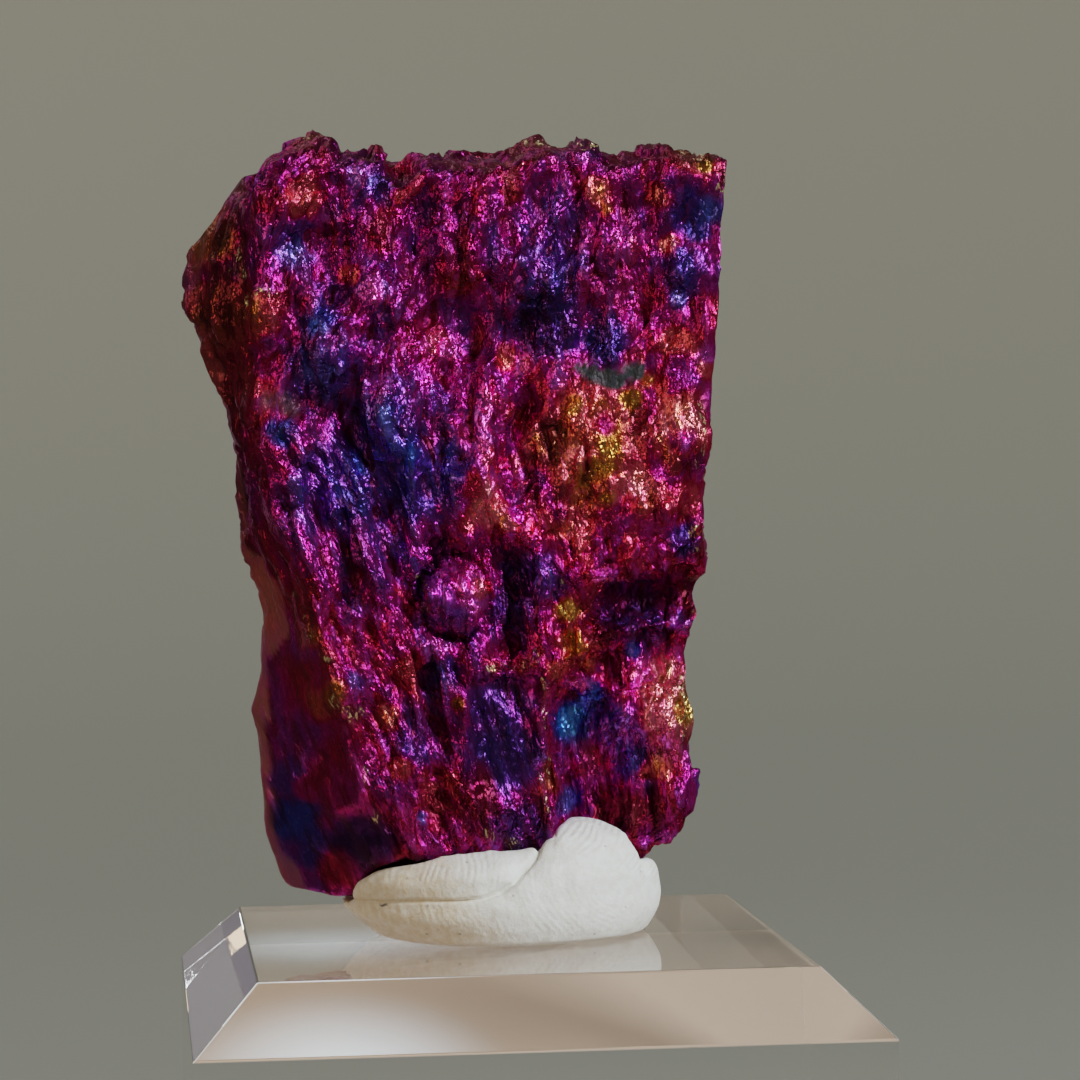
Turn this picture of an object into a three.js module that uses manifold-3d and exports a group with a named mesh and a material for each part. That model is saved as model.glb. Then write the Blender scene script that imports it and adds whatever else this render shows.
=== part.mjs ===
// Peacock ore on a display block: a broken slab of iridescent ore, held upright by a folded lump of
// mineral tack on a clear bevelled block.
//
// Millimetres, +Z up. The origin is at the middle of the block's underside, +X is to the right and the
// viewer stands on the -Y side. Heights of the ore and the tack are measured from the block's top.

import * as THREE from 'three';
import { ImprovedNoise } from 'three/addons/math/ImprovedNoise.js';
import { mergeVertices } from 'three/addons/utils/BufferGeometryUtils.js';
import Module from 'manifold-3d';

const wasm = await Module();
wasm.setup();

// ---------------------------------------------------------------- driving dimensions

const BLOCK = { side: 50, height: 30, bevel: 4.7 };

// The ore is a slab between a front face and a back face. Its front face starts on the left at
// FRONT_LEFT, and a wall runs from there outwards and back to SIDE_LEFT, the widest line of the slab.
const ORE = {
  frontY: -5,
  backY: 12.5,
  grainWidth: 34, // the slab's width as the grain counts it, whatever its width at a height
  sideGrainWidth: 16, // the same for the walls, from front to back
  middle: { left: -18, right: 15, foot: 4, top: 60 }, // where the search for a point starts
  cells: [30, 9, 42], // across, front to back, up
  widestAt: 0.58, // where the left wall is widest, as a share of the way to the back
};

// Outlines as [height, x], from the bottom up.
const FRONT_LEFT = [
  [4, -8.6], [7, -9.9], [11.8, -12], [16.6, -12.1], [20.9, -13.6], [24, -14.7], [29.5, -17],
  [33.5, -18.5], [37.6, -19.3], [39, -20.3], [41.5, -19.7], [48, -19], [57, -18.9], [62, -16],
];
const SIDE_LEFT = [
  [3.3, -17.4], [7.2, -19], [13.3, -19.6], [17.4, -19.8], [20.5, -18.7], [25.2, -18.4], [28, -19.8],
  [30, -21], [34, -21.3], [39.5, -21.3], [42, -21.9], [45.4, -23.2], [48.5, -24.2], [51.4, -24.4],
  [55, -23.8], [56.6, -21.2], [59, -19.4], [62, -15],
];
const FRONT_RIGHT = [
  [6.7, 12.6], [9, 14.8], [13, 14.8], [13.6, 13.9], [21.6, 14], [24.6, 14.3], [26, 14.8],
  [30.3, 14.6], [35.7, 15.6], [43, 16], [48, 16.2], [57, 16.7], [60, 17.2],
];

// Outlines as [x, height], from left to right.
const CROWN = [
  [-24.4, 53.4], [-23.4, 55.6], [-21, 56.8], [-20, 57.5], [-19.6, 59.7], [-17.2, 60.4], [-15.4, 61.1],
  [-14.4, 61.1], [-12.8, 60.7], [-10.7, 60.1], [-9.3, 60.6], [-7.9, 58.7], [-6.7, 60.1], [-2.5, 59.8],
  [1.4, 60.6], [7, 61.3], [8, 60.3], [11.1, 60.8], [14.6, 60.4], [17.6, 60.6],
];
const FRONT_FOOT = [
  [-9, 6.2], [-6.5, 6.6], [-3.8, 7], [-1.8, 7.5], [1.2, 6.9], [2.4, 7], [6, 6.4], [11.6, 6.7],
  [13, 7.4], [13.9, 8], [15, 9.6],
];
const UNDERSIDE = [
  [-18.6, 5], [-17.4, 3.3], [-13.6, 2.8], [-11.9, 2.8], [-10, 3.4], [-6, 4.2], [6, 4.4], [11, 6],
  [15, 9.6],
];

// The small flat spot under the ore, bedded in the tack.
const FLAT_SPOT = {
  x: 0.5, y: 3.5, radiusX: 4, radiusY: 2.8, height: 4,
  blend: 1.4, // how far the underside round it may lie below it
};

// Areas of the front face that stand back behind an edge, as outlines in [x, height].
const SET_BACK = {
  lowerRight: {
    depth: 3.4, slope: 1,
    outline: [
      [2.5, 2], [2.5, 20.6], [4.2, 21.2], [5.6, 22], [7.2, 23.2], [10.3, 23.8], [12.3, 24],
      [18, 24.6], [18, 2],
    ],
  },
  cave: {
    depth: 4.8, slope: 1.4,
    outline: [
      [5.2, 22], [5.9, 25.4], [7.2, 27.2], [9.6, 27.7], [18, 28.3], [18, 24.6], [12.3, 24],
      [10.3, 23.8], [7.2, 23.2],
    ],
  },
  hollow: {
    depth: 3, slope: 1.8,
    outline: [
      [3.2, 4], [3, 18.2], [5.2, 19.6], [7.5, 18.6], [9.6, 16.4], [10.1, 13], [9.4, 9], [9, 4],
    ],
  },
  darkFace: {
    depth: 1.1, slope: 0.9,
    outline: [[-3.9, 11.4], [-3.5, 20.6], [-0.3, 20.4], [2.2, 21.2], [2.1, 9.6], [-1.6, 10.6]],
  },
  slatePatch: {
    depth: 0.9, slope: 0.7,
    outline: [[5.4, 43.9], [7.9, 43], [10.4, 43.6], [9.6, 42.3], [7.6, 41.6], [5.8, 42.4]],
  },
};

// Ridges (height > 0) and troughs (height < 0) of the front face along lines in [x, height].
const CRESTS = [
  { height: 1.4, width: 1.9, line: [[-17.6, 36.6], [-16.2, 31], [-14.4, 24.5], [-12.6, 19.6]] },
  { height: 1.2, width: 1.7, line: [[-16.4, 39], [-13.5, 32.4], [-11.6, 28.6], [-10.2, 25.6]] },
  { height: -1.5, width: 1.6, line: [[-15.8, 35.6], [-13.9, 30.2], [-12.4, 26.2]] },
  { height: -1.3, width: 1.5, line: [[-12.8, 40.5], [-10.6, 35.4], [-9.2, 30.6], [-8.4, 26]] },
  { height: 1.0, width: 1.9, line: [[-9.8, 43.6], [-7.8, 38], [-6.8, 32.4]] },
  { height: -1.7, width: 1.5, line: [[-8.1, 61], [-7.4, 56], [-6.6, 52.2], [-6.9, 47.6]] },
  { height: -1.3, width: 1.6, line: [[-14.2, 57], [-13.2, 51.4], [-12.6, 47.2]] },
  { height: -1.2, width: 1.4, line: [[-3.6, 49.4], [-2.2, 44.6], [-1.6, 40]] },
  { height: 1.1, width: 1.8, line: [[-1.2, 44], [-2.2, 38.6], [-2.8, 33.2]] },
  { height: -1.1, width: 1.5, line: [[0.8, 46.4], [0.4, 40], [0, 34.6]] },
  { height: -2.1, width: 1.5, line: [[-1.4, 30.6], [-0.5, 27.4], [0.1, 24], [-0.6, 21.9]] },
  { height: 1.1, width: 1.5, line: [[1.7, 30], [2.2, 25.6], [2, 22.4]] },
  { height: 1.3, width: 1.2, line: [[-3.9, 21.2], [-1.8, 21], [0.4, 21.3], [2.2, 22]] },
  { height: 1.5, width: 1.5, line: [[4.2, 28.4], [6.8, 28.8], [10, 28.7], [12.6, 29.2], [14.8, 29.4]] },
  { height: -1.0, width: 1.3, line: [[5.2, 58], [4.6, 53], [5.1, 48.6]] },
  { height: -1.1, width: 1.4, line: [[10.8, 59], [11.4, 53.6], [10.9, 47.4]] },
  { height: -1.0, width: 1.3, line: [[-6.4, 20], [-5.8, 15.4], [-6.2, 10]] },
  { height: 0.9, width: 1.5, line: [[-9, 22], [-8.2, 16.4], [-7.8, 11]] },
];

// Single lumps of the front face.
const LUMPS = [
  { x: -13.8, z: 46, radius: 3.6, height: 1.2 }, { x: -10.2, z: 48.8, radius: 2.6, height: 1.1 },
  { x: -16.4, z: 55.4, radius: 3.4, height: 1 }, { x: -3.4, z: 54.6, radius: 4, height: 0.9 },
  { x: 2.4, z: 51.4, radius: 3.4, height: 1.1 }, { x: 7.9, z: 52, radius: 2.6, height: 1 },
  { x: 13.2, z: 51.4, radius: 2.6, height: 0.9 }, { x: 12.6, z: 38, radius: 4.2, height: 1.2 },
  { x: 7, z: 36.4, radius: 3.6, height: 1 }, { x: 10.6, z: 32.2, radius: 3.4, height: 1.3 },
  { x: -8.6, z: 38.4, radius: 2.8, height: 0.9 }, { x: -8.4, z: 12.6, radius: 2.8, height: 0.8 },
  { x: 12.4, z: 17, radius: 3.4, height: 1.2 }, { x: 12.8, z: 11, radius: 2.6, height: 0.9 },
];

// The six-sided knob below the middle, in its ring-shaped crack.
const KNOB = {
  x: -4.4, z: 26.4, radius: 2.6, height: 1.3, crackDepth: 1.5, crackWidth: 0.9,
  hexShare: 0.94, // pulls the six corners in to the knob's radius
};

// Broken texture all over: a fine and a coarse scale, as wavelength and height.
const CRUMBLE = { fine: 3.1, fineHeight: 0.8, coarse: 9.5, coarseHeight: 1.4 };
// The fibrous grain: ribs that overlap like shingles, each steep on one side, and finer ribs between.
const GRAIN = { ribSpacing: 4.3, ribHeight: 0.85, steepShare: 0.72, fineSpacing: 2.4, fineHeight: 0.8 };
// How far the lines of crests, troughs and lumps wander from their drawn course.
const WANDER = { wavelength: 4.2, reach: 1.5 };
// How near a point of the front face is to a set-back's rim to be moved onto it, and the step by which
// the way to the rim is felt for.
const RIM_SNAP = { reach: 0.62, step: 0.05 };

// The tack: an oval cake with a low lobe on the left and a high one on the right, and the crease
// between them as a line in [x, height] on its front side. Fullness below 1 makes its flanks rounder,
// and its left end is lifted off the block, so that the foot starts further in.
const TACK = {
  x: -0.6, y: 1.6, radiusX: 12.5, radiusY: 9.6, waist: 2.9, footShare: 0.46, fullness: 0.58,
  leftLift: 2, segments: [38, 22], crease: 0.5, creaseWidth: 1.4,
};
const TACK_LOBES = [
  { x: -4.5, y: -6.4, radiusX: 10.4, radiusY: 6, height: 5.1 },
  { x: 6.7, y: -2.6, radiusX: 6.6, radiusY: 7.2, height: 7.1 },
  { x: 2, y: 6, radiusX: 12, radiusY: 6, height: 2.6 },
];
const TACK_CREASE = [
  [-12.7, 3.2], [-8.9, 3.4], [-5.1, 3.6], [-2.1, 3.9], [-0.6, 4.7], [0.6, 6], [1.7, 7.4],
];

const SEAT_GAP = 0.3; // between the ore and the tack pressed round it

// ---------------------------------------------------------------- small helpers

const { lerp, clamp } = THREE.MathUtils;
const noiseField = new ImprovedNoise();

/** 0 below lo, 1 above hi, smooth between. */
function rise(value, lo, hi) {
  return THREE.MathUtils.smoothstep(value, lo, hi);
}

/** Value of a [key, value] outline at a key, straight between its points. */
function along(outline, key) {
  const last = outline.length - 1;
  if (key <= outline[0][0]) return outline[0][1];
  for (let i = 1; i <= last; i++) {
    const [k1, v1] = outline[i];
    const [k0, v0] = outline[i - 1];
    if (key <= k1) return lerp(v0, v1, (key - k0) / (k1 - k0));
  }
  return outline[last][1];
}

/** Distance from (x, z) to the straight piece a-b. */
function pieceDistance(x, z, [ax, az], [bx, bz]) {
  const [dx, dz] = [bx - ax, bz - az];
  const t = clamp(((x - ax) * dx + (z - az) * dz) / (dx * dx + dz * dz), 0, 1);
  return Math.hypot(x - ax - t * dx, z - az - t * dz);
}

/** Distance from (x, z) to a line of points. */
function lineDistance(line, x, z) {
  let nearest = Infinity;
  for (let i = 1; i < line.length; i++) {
    nearest = Math.min(nearest, pieceDistance(x, z, line[i - 1], line[i]));
  }
  return nearest;
}

/** Distance from (x, z) to a closed outline, positive inside it. */
function depthInside(outline, x, z) {
  let inside = false;
  for (let i = 0, j = outline.length - 1; i < outline.length; j = i++) {
    const [xi, zi] = outline[i];
    const [xj, zj] = outline[j];
    if (zi > z !== zj > z && x < xi + ((xj - xi) * (z - zi)) / (zj - zi)) inside = !inside;
  }
  const edge = lineDistance([...outline, outline[0]], x, z);
  return inside ? edge : -edge;
}

/** Smooth noise between about -0.8 and 0.8, with a wavelength in mm. */
function noise(x, y, z, wavelength, seed = 0) {
  return noiseField.noise(x / wavelength + seed, y / wavelength - seed, z / wavelength + 0.5 * seed);
}

// ---------------------------------------------------------------- the ore

/** How far one set-back area lies behind its rim at (x, z). */
function setBack({ outline, depth, slope }, x, z) {
  return depth * rise(depthInside(outline, x, z), 0, slope);
}

/** How far the knob and its crack stand out from the front face. */
function knobRelief(x, z) {
  const [dx, dz] = [x - KNOB.x, z - KNOB.z];
  const angle = Math.atan2(dz, dx);
  const sector = Math.PI / 3;
  const offAxis = ((angle % sector) + sector) % sector - sector / 2;
  const hexDistance = Math.hypot(dx, dz) * Math.cos(offAxis) / Math.cos(sector / 2) * KNOB.hexShare;
  const dome = KNOB.height * (1 - 0.35 * (hexDistance / KNOB.radius) ** 2);
  const crackAt = KNOB.radius + KNOB.crackWidth / 2;
  const crack = KNOB.crackDepth * Math.max(0, 1 - Math.abs(hexDistance - crackAt) / KNOB.crackWidth);
  return dome * (1 - rise(hexDistance, KNOB.radius - 0.5, KNOB.radius + 0.3)) - crack;
}

/** Ribs of the fibrous grain at across (mm from the slab's left edge) and height z. */
function grainRelief(across, z, seed) {
  const bent = across + 1.7 * noise(across, z, 0, 6, seed);
  const rib = bent / GRAIN.ribSpacing + 0.9 * noise(bent, 0.4 * z, 0, 9, seed + 2);
  const place = rib - Math.floor(rib);
  const steep = GRAIN.steepShare;
  const tooth = place < steep ? place / steep : (1 - place) / (1 - steep);
  const strength = clamp(0.55 + 1.3 * noise(5.3 * Math.floor(rib), z, seed, 7), 0, 1.2);
  const fine = noise(bent, 0.3 * z, 0, GRAIN.fineSpacing, seed + 5);
  return GRAIN.ribHeight * (strength * tooth - 0.3) + GRAIN.fineHeight * (fine - 0.5 * Math.abs(fine));
}

/** Crests, troughs and lumps of the front face, whose courses wander a little. */
function drawnRelief(x, z) {
  const wx = x + WANDER.reach * noise(x, 0, z, WANDER.wavelength, 2.2);
  const wz = z + WANDER.reach * noise(x, 8, z, WANDER.wavelength, 6.1);
  let out = 0;
  for (const { line, height, width } of CRESTS) {
    const strength = 1 + 0.9 * noise(x, 3, z, 3.4, width);
    out += height * strength * (1 - rise(lineDistance(line, wx, wz), 0, width));
  }
  for (const { x: cx, z: cz, radius, height } of LUMPS) {
    out += height * (1 - rise(Math.hypot(wx - cx, wz - cz), 0.3 * radius, radius));
  }
  return out;
}

/** Y of the front face at (x, z), where across runs from the slab's left edge to its right. */
function frontFace(x, z, across) {
  const stepped = Math.max(setBack(SET_BACK.lowerRight, x, z), setBack(SET_BACK.cave, x, z));
  const hollow = setBack(SET_BACK.hollow, x, z);
  const flat = setBack(SET_BACK.darkFace, x, z);
  const nearKnob = 1 - rise(Math.hypot(x - KNOB.x, z - KNOB.z), KNOB.radius, KNOB.radius + 1.6);
  const calm = (1 - 0.7 * flat / SET_BACK.darkFace.depth) * (1 - 0.8 * nearKnob);
  const back = stepped + hollow + flat + setBack(SET_BACK.slatePatch, x, z);
  const out = calm * grainRelief(across, z, 3.3) + (1 - nearKnob) * drawnRelief(x, z) + knobRelief(x, z);
  const crownSlope = Math.max(0, z - along(CROWN, x) + 1.6);
  return ORE.frontY + back - out + crownSlope;
}

/** Y of the back face: a few broad fracture planes that meet in blunt edges, with the same grain. */
function backFace(x, z, across) {
  const planes = [
    ORE.backY + 1.4,
    ORE.backY + 3.4 - 0.2 * (x + 4) - 0.03 * (z - 30),
    ORE.backY + 3.2 + 0.24 * (x - 2) + 0.02 * (z - 30),
    ORE.backY + 2.8 - 0.34 * (z - 44) + 0.08 * x,
    ORE.backY + 2.6 + 0.3 * (z - 14) - 0.07 * x,
  ];
  const pit = 2.4 * (1 - rise(Math.hypot(x + 4 + 0.2 * (z - 36), 0.6 * (z - 36)), 2.5, 5.5));
  return Math.min(...planes) - pit + 0.8 * grainRelief(across + 0.12 * z, z, 11.7) - 1;
}

/** X of the left wall at height z, from the front (w = 0) to the back (w = 1). */
function leftWall(z, w) {
  const front = along(FRONT_LEFT, z);
  const side = along(SIDE_LEFT, z);
  const smoothBelow = lerp(0.35, 1, rise(z, 22, 34));
  const across = ORE.sideGrainWidth * w + 0.1 * z;
  const ribs = smoothBelow * 0.8 * grainRelief(across, z, 21.4) * rise(w, 0, 0.2);
  if (w <= ORE.widestAt) return lerp(front, side, (w / ORE.widestAt) ** 0.9) - 0.6 * ribs;
  const past = (w - ORE.widestAt) / (1 - ORE.widestAt);
  return side + 2.6 * past ** 2 - ribs;
}

/** X of the right wall: a sharp front edge, and a stepped face that falls away behind it. */
function rightWall(z, w) {
  const step = 1.2 * rise(w, 0.45, 0.55) * rise(z, 18, 22) + 0.9 * rise(w, 0.7, 0.8);
  const across = ORE.sideGrainWidth * w - 0.15 * z;
  const ribs = 0.8 * grainRelief(across, z, 31.9) * rise(w, 0, 0.2);
  return along(FRONT_RIGHT, z) - 0.9 * rise(w, 0, 0.3) - step + ribs;
}

/** Height of the top: highest a little behind the front edge, ragged and lower towards the back. */
function crown(x, w) {
  const lip = 1.1 * (1 - rise(w, 0, 0.22));
  const deep = ORE.sideGrainWidth * w;
  const ragged = 1.5 * noise(x, deep, 0, 3.6, 5.5) - 1.6 * Math.abs(noise(x, deep, 0, 6, 8.8));
  return along(CROWN, x) - lip - 3.4 * rise(w, 0.4, 1.05) + ragged * rise(w, 0.1, 0.5);
}

/** Height of the underside: the front foot, and the lower middle that the tack holds. */
function underside(x, w) {
  const under = lerp(along(FRONT_FOOT, x), along(UNDERSIDE, x), rise(w, 0, 0.32));
  return under + 2.8 * rise(w, 0.72, 1.1);
}

/**
 * Place of a point of the slab: u from left to right, w from front to back, v from bottom to top. The
 * walls depend on the height and the top on x, so the point is found in a few passes.
 */
function orePoint(u, w, v) {
  let x = lerp(ORE.middle.left, ORE.middle.right, u);
  let z = lerp(ORE.middle.foot, ORE.middle.top, v);
  for (let pass = 0; pass < 4; pass++) {
    x = lerp(leftWall(z, w), rightWall(z, w), u);
    z = lerp(underside(x, w), crown(x, w), v);
  }
  if (w === 0) [x, z] = snapToRims(x, z);
  const across = ORE.grainWidth * u;
  return new THREE.Vector3(x, lerp(frontFace(x, z, across), backFace(x, z, across), w), z);
}

/** Moves a point of the front face that lies close to a set-back's rim onto that rim. */
function snapToRims(x, z) {
  const { lowerRight, cave, hollow, darkFace } = SET_BACK;
  for (const { outline } of [lowerRight, cave, hollow, darkFace]) {
    const here = depthInside(outline, x, z);
    if (Math.abs(here) > RIM_SNAP.reach) continue;
    const slopeX = (depthInside(outline, x + RIM_SNAP.step, z) - here) / RIM_SNAP.step;
    const slopeZ = (depthInside(outline, x, z + RIM_SNAP.step) - here) / RIM_SNAP.step;
    x -= here * slopeX;
    z -= here * slopeZ;
  }
  return [x, z];
}

/** Moves a point by the broken texture, less on the front face, which has relief of its own. */
function crumble(point, w) {
  const { x, y, z } = point;
  const share = w === 0 ? 0.65 : 1;
  const push = (seed) => CRUMBLE.fineHeight * noise(x, y, z, CRUMBLE.fine, seed)
    + CRUMBLE.coarseHeight * noise(x, y, z, CRUMBLE.coarse, seed + 7);
  point.x += 0.55 * share * push(1.7);
  point.y += share * push(4.1);
  point.z += 0.6 * share * push(9.2);
}

/** Height of a point of the underside, which is level on the flat spot and blends into it round it. */
function spotHeight({ x, y, z }) {
  const { radiusX, radiusY, height, blend } = FLAT_SPOT;
  const offSpot = Math.hypot((x - FLAT_SPOT.x) / radiusX, (y - FLAT_SPOT.y) / radiusY);
  return lerp(height, Math.max(z, height - blend), rise(offSpot, 1, 2));
}

/** The whole ore, one closed solid. */
function oreGeometry() {
  const box = new THREE.BoxGeometry(1, 1, 1, ...ORE.cells);
  box.deleteAttribute('normal');
  box.deleteAttribute('uv');
  const geometry = mergeVertices(box, 1e-5);
  const places = geometry.attributes.position;
  for (let i = 0; i < places.count; i++) {
    const [u, w, v] = [places.getX(i) + 0.5, places.getY(i) + 0.5, places.getZ(i) + 0.5];
    const point = orePoint(u, w, v);
    crumble(point, w);
    if (v === 0) point.z = spotHeight(point);
    places.setXYZ(i, point.x, point.y, point.z);
  }
  geometry.computeVertexNormals();
  return geometry;
}

// ---------------------------------------------------------------- the tack

/** Height of the tack's top at (x, y), before it rounds down to its edge. */
function tackTop(x, y) {
  let top = TACK.waist;
  for (const lobe of TACK_LOBES) {
    const away = Math.hypot((x - lobe.x) / lobe.radiusX, (y - lobe.y) / lobe.radiusY);
    top = Math.max(top, TACK.waist + lobe.height * Math.sqrt(Math.max(0, 1 - 0.5 * away * away)));
  }
  return top;
}

/** The tack as pressed down on the block, before the ore's seat is taken out of it. */
function tackGeometry() {
  const ball = new THREE.SphereGeometry(1, ...TACK.segments);
  ball.rotateX(Math.PI / 2);
  ball.deleteAttribute('normal');
  ball.deleteAttribute('uv');
  const geometry = mergeVertices(ball, 1e-5);
  const places = geometry.attributes.position;
  for (let i = 0; i < places.count; i++) {
    const [px, py, pz] = [places.getX(i), places.getY(i), places.getZ(i)];
    let x = TACK.x + TACK.radiusX * px;
    let y = TACK.y + TACK.radiusY * py;
    let z = TACK.waist * Math.max(0, 1 + pz / TACK.footShare);
    if (pz > 0) z = TACK.waist + (tackTop(x, y) - TACK.waist) * pz ** TACK.fullness;
    if (pz < 0) x += TACK.leftLift * Math.max(0, -px) * Math.min(1, -pz / TACK.footShare);
    if (z > 0 && y < TACK.y) {
      const groove = TACK.crease * (1 - rise(lineDistance(TACK_CREASE, x, z), 0, TACK.creaseWidth));
      x -= groove * px;
      y -= groove * py;
    }
    places.setXYZ(i, x, y, z);
  }
  return geometry;
}

// ---------------------------------------------------------------- joining and cutting

/** A solid for manifold-3d from a closed geometry whose vertices are shared. */
function toSolid(geometry) {
  return new wasm.Manifold(new wasm.Mesh({
    numProp: 3,
    vertProperties: new Float32Array(geometry.attributes.position.array),
    triVerts: new Uint32Array(geometry.index.array),
  }));
}

/** A geometry from a solid of manifold-3d. */
function toGeometry(solid) {
  const mesh = solid.getMesh();
  const geometry = new THREE.BufferGeometry();
  geometry.setAttribute('position', new THREE.BufferAttribute(mesh.vertProperties, 3));
  geometry.setIndex(new THREE.BufferAttribute(mesh.triVerts, 1));
  return geometry;
}

/** The geometry with every point moved out along its normal, for the seat around it. */
function grown(geometry, distance) {
  const bigger = geometry.clone();
  const places = bigger.attributes.position;
  const normals = bigger.attributes.normal;
  for (let i = 0; i < places.count; i++) {
    places.setXYZ(
      i,
      places.getX(i) + distance * normals.getX(i),
      places.getY(i) + distance * normals.getY(i),
      places.getZ(i) + distance * normals.getZ(i),
    );
  }
  return bigger;
}

// ---------------------------------------------------------------- the block

/** A square block with one bevel all round its top. */
function blockGeometry() {
  const toCorner = Math.SQRT1_2; // half a side to half a diagonal: side / 2 * sqrt(2)
  const profile = [
    [0, 0],
    [BLOCK.side * toCorner, 0],
    [BLOCK.side * toCorner, BLOCK.height - BLOCK.bevel],
    [(BLOCK.side - 2 * BLOCK.bevel) * toCorner, BLOCK.height],
    [0, BLOCK.height],
  ].map(([radius, height]) => new THREE.Vector2(radius, height));
  const geometry = new THREE.LatheGeometry(profile, 4, Math.PI / 4);
  geometry.rotateX(Math.PI / 2);
  return geometry;
}

// ---------------------------------------------------------------- assembly

const oreShape = oreGeometry();
const tackShape = toGeometry(toSolid(tackGeometry()).subtract(toSolid(grown(oreShape, SEAT_GAP))));

const peacockOre = new THREE.Mesh(
  oreShape,
  new THREE.MeshStandardMaterial({ color: '#7b1d63', roughness: 0.38, metalness: 0.75 }),
);
peacockOre.name = 'peacock_ore';

const mineralTack = new THREE.Mesh(
  tackShape,
  new THREE.MeshStandardMaterial({ color: '#d8d5c8', roughness: 0.8, metalness: 0 }),
);
mineralTack.name = 'mineral_tack';

const acrylicBlock = new THREE.Mesh(
  blockGeometry(),
  new THREE.MeshStandardMaterial({
    color: '#eef1f0', roughness: 0.04, metalness: 0, transparent: true, opacity: 0.3,
  }),
);
acrylicBlock.name = 'acrylic_block';

const onBlock = new THREE.Group();
onBlock.position.z = BLOCK.height;
onBlock.add(peacockOre, mineralTack);

const group = new THREE.Group();
group.add(acrylicBlock, onBlock);

export default group;
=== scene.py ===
"""Peacock ore on its display block: the finish of the ore, its mineral tack and the clear block.

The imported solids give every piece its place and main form. Each piece is rebuilt here from its solid
with a finer surface and its own finish. Lengths inside the sub-assemblies are in millimetres, with
heights measured from the display block's top, and are turned into metres when a mesh is made.
"""

import logging
import math
from dataclasses import dataclass, field
from enum import Enum
from typing import Callable, Sequence

import bmesh
import bpy
import numpy as np
from mathutils import Matrix, Vector

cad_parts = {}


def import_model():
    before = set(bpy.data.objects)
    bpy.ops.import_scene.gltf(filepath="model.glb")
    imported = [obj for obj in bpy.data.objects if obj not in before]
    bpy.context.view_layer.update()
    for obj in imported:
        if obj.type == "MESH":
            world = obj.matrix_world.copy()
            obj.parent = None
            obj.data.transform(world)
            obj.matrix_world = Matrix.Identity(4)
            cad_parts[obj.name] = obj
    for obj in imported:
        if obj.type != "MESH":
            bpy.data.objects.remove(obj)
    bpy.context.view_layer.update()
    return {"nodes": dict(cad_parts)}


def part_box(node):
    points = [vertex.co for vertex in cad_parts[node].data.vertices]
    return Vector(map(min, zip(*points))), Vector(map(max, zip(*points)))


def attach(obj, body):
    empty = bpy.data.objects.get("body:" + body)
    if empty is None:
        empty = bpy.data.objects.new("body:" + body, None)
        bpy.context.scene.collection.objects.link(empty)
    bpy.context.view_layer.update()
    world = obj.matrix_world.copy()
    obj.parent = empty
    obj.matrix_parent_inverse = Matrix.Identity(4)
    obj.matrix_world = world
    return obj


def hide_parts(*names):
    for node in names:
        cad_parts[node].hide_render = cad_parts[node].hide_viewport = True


LOG = logging.getLogger("peacock_ore")

MM = 0.001
BODY = "root"


def srgb(red: int, green: int, blue: int) -> tuple[float, float, float, float]:
    """A linear colour from the 0 to 255 values that a paint chart gives.

    Args:
        red, green, blue: Values from 0 to 255.

    Returns:
        The linear colour with an alpha of 1.
    """
    parts = [v / 255 for v in (red, green, blue)]
    linear = [p / 12.92 if p <= 0.04045 else ((p + 0.055) / 1.055) ** 2.4 for p in parts]
    return (*linear, 1.0)


# ------------------------------------------------------------------------------ shader expressions


class Sock:
    """One output socket of a node tree, with operators that add the Math nodes they stand for."""

    def __init__(self, shader: "Shader", socket: bpy.types.NodeSocket) -> None:
        """Wraps a socket of the shader's tree."""
        self.shader = shader
        self.socket = socket

    def _math(self, operation: str, *values: "Sock | float") -> "Sock":
        """A Math node on this socket and the given values."""
        return self.shader.node("ShaderNodeMath", {"operation": operation}, {i: v for i, v in enumerate(values)})

    def __add__(self, other: "Sock | float") -> "Sock":
        """self + other."""
        return self._math("ADD", self, other)

    __radd__ = __add__

    def __mul__(self, other: "Sock | float") -> "Sock":
        """self * other."""
        return self._math("MULTIPLY", self, other)

    __rmul__ = __mul__

    def __sub__(self, other: "Sock | float") -> "Sock":
        """self - other."""
        return self._math("SUBTRACT", self, other)

    def __rsub__(self, other: "Sock | float") -> "Sock":
        """other - self."""
        return self._math("SUBTRACT", other, self)

    def __truediv__(self, other: "Sock | float") -> "Sock":
        """self / other."""
        return self._math("DIVIDE", self, other)

    def __pow__(self, other: "Sock | float") -> "Sock":
        """self ** other."""
        return self._math("POWER", self, other)

    def sine(self) -> "Sock":
        """The sine of this value."""
        return self._math("SINE", self)

    def size(self) -> "Sock":
        """This value without its sign."""
        return self._math("ABSOLUTE", self)

    def between(self, low: float, high: float) -> "Sock":
        """0 below low, 1 above high, smooth between."""
        settings = {"interpolation_type": "SMOOTHSTEP"}
        return self.shader.node("ShaderNodeMapRange", settings, {"Value": self, "From Min": low, "From Max": high})

    def clipped(self) -> "Sock":
        """This value held between 0 and 1."""
        return self.shader.node("ShaderNodeClamp", {}, {"Value": self})


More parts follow.
